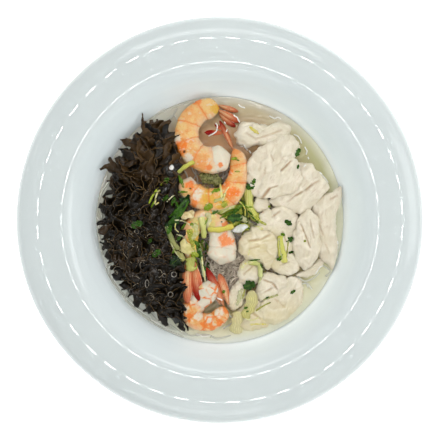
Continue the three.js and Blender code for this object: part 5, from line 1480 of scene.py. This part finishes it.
rings = []
for x, y, half, long_half in BUBBLES:
    turn = np.linspace(0, 2 * np.pi, 33)
    level = top_at(toppings, x, y) + 0.7
    line = np.stack([x + half * np.cos(turn), y + long_half * np.sin(turn), level + 0 * turn], axis=1)
    rings.append(strand(line, BUBBLE_FILM))
film = mottled("bubble_film", 1, 2, tint(96, 90, 80), tint(170, 164, 152), Roughness=0.1, Alpha=0.9)
seat(gathered("broth_bubbles", rings), film, "broth", "broth")
streaks = []
for path in FROTH_AND_GLINTS:
    line = smooth_line(path, steps=20)
    line[:, :2] += 0.5 * np.stack([relief(line, 2.2, 3), relief(line, 2.2, 8)], axis=1)
    line[:, 2] = [max(BROTH_LEVEL + 0.4, top_at(toppings, x, y)) + 0.3 for x, y, _ in line]
    streaks.append(strand(line, FROTH_GLINT_FILM))
film = mottled("froth_and_glint_film", 1, 2, tint(228, 226, 218), tint(246, 246, 240), Roughness=0.1, Alpha=0.9)
seat(gathered("broth_froth_and_glints", streaks), film, "broth", "broth")

# ---- Table, light and camera ---------------------------------------------------------------------
# A pale table, an even white room, a soft window across the table, softer lights on the right and near
# side, and three rings of small ceiling lamps. The glaze mirrors two of them as dashed circles, and the
# third lights the food.
TABLE_SIZE = 6.0
HORIZON_LIGHT, ZENITH_LIGHT = 1.12, 0.88
MIRRORED_LIGHT = 0.15  # share of the room's light that wet and glazed faces mirror
CAMERA_HEIGHT, CAMERA_SIDE = 0.95, 0.0001  # straight above, a hair to the right
SENSOR = 36
FOCAL_PIXELS, PICTURE_PIXELS = 1363.8, 440
LAMP_HEIGHT = 0.754
# Per ring of lamps: how many, its radius, a lamp's length and breadth, the radius on the bowl that each
# is aimed at, its spread in degrees and its radiance. The last ring lights the food alone.
LAMP_RINGS = [(44, 0.040, 0.0028, 0.030, 0.104, 14, 34), (44, 0.291, 0.022, 0.010, 0.1203, 24, 56),
              (10, 0.130, 0.012, 0.012, 0.0, 15, 180)]

bpy.ops.mesh.primitive_grid_add(x_subdivisions=8, y_subdivisions=8, size=TABLE_SIZE,
                                location=(0, 0, -0.0005))
table = bpy.context.object
table.name = table.data.name = "table"
paper = mottled("table_white", 60, 2, tint(236, 236, 236), tint(244, 244, 244), Roughness=0.9,
                Emission_Color=(1, 1, 1, 1), Emission_Strength=0.55)
table.data.materials.append(paper.material)

world = bpy.data.worlds.new("room")
bpy.context.scene.world = world
world.use_nodes = True
sky = Nodes(world.node_tree)
up = sky.numbers(sky.add("ShaderNodeTexCoord", out=0))[2]
dimming = up.kept() ** 0.8 * (HORIZON_LIGHT - ZENITH_LIGHT)
mirrored = sky.add("ShaderNodeLightPath", out="Is Glossy Ray")
strength = (HORIZON_LIGHT - dimming) * (1 - mirrored * (1 - MIRRORED_LIGHT))
sky.plug(world.node_tree.nodes["Background"], {"Color": (1, 1, 1, 1), "Strength": strength})


def lamp(name, spot, aim, size, radiance, spread=180):
    """A flat lamp of that size in metres, aimed at a point, its light kept within the spread."""
    data = bpy.data.lights.new(name, "AREA")
    data.shape = "RECTANGLE"
    data.size, data.size_y = size
    data.spread = math.radians(spread)
    half = min(data.spread / 2, 1.57)
    data.energy = radiance * math.pi * size[0] * size[1] * (1 - half / math.tan(half))
    made = bpy.data.objects.new(name, data)
    made.location = spot
    made.rotation_euler = (Vector(aim) - Vector(spot)).to_track_quat("-Z", "Y").to_euler()
    made.visible_camera = False
    bpy.context.scene.collection.objects.link(made)


lamp("window", (0.0, 0.62, 0.80), (0, 0, 0.05), (0.70, 0.24), 2.6)
lamp("side_light", (0.90, 0.10, 0.75), (0, 0, 0.04), (0.6, 0.6), 2.0)
lamp("near_light", (-0.1, -0.85, 0.75), (0, 0, 0.04), (0.6, 0.4), 1.2)
for ring_number, (count, radius, length, breadth, aimed, spread, radiance) in enumerate(LAMP_RINGS):
    for k in range(count):
        turn = 2 * math.pi * (k + 0.5 * ring_number) / count
        outward = Vector((math.cos(turn), math.sin(turn), 0))
        spot = outward * radius + Vector((0, 0, LAMP_HEIGHT))
        aim = outward * aimed + Vector((0, 0, CREST[1] * MM))
        lamp(f"lamp_{ring_number}_{k}", spot, aim, (length, breadth), radiance, spread)

camera_data = bpy.data.cameras.new("camera")
camera_data.sensor_width = SENSOR
camera_data.lens = SENSOR * FOCAL_PIXELS / PICTURE_PIXELS
camera_data.clip_start = 0.05
camera = bpy.data.objects.new("camera", camera_data)
camera.location = (CAMERA_SIDE, 0, CAMERA_HEIGHT)
bpy.context.scene.collection.objects.link(camera)
bpy.context.scene.camera = camera
bpy.context.scene.view_settings.view_transform = "Standard"
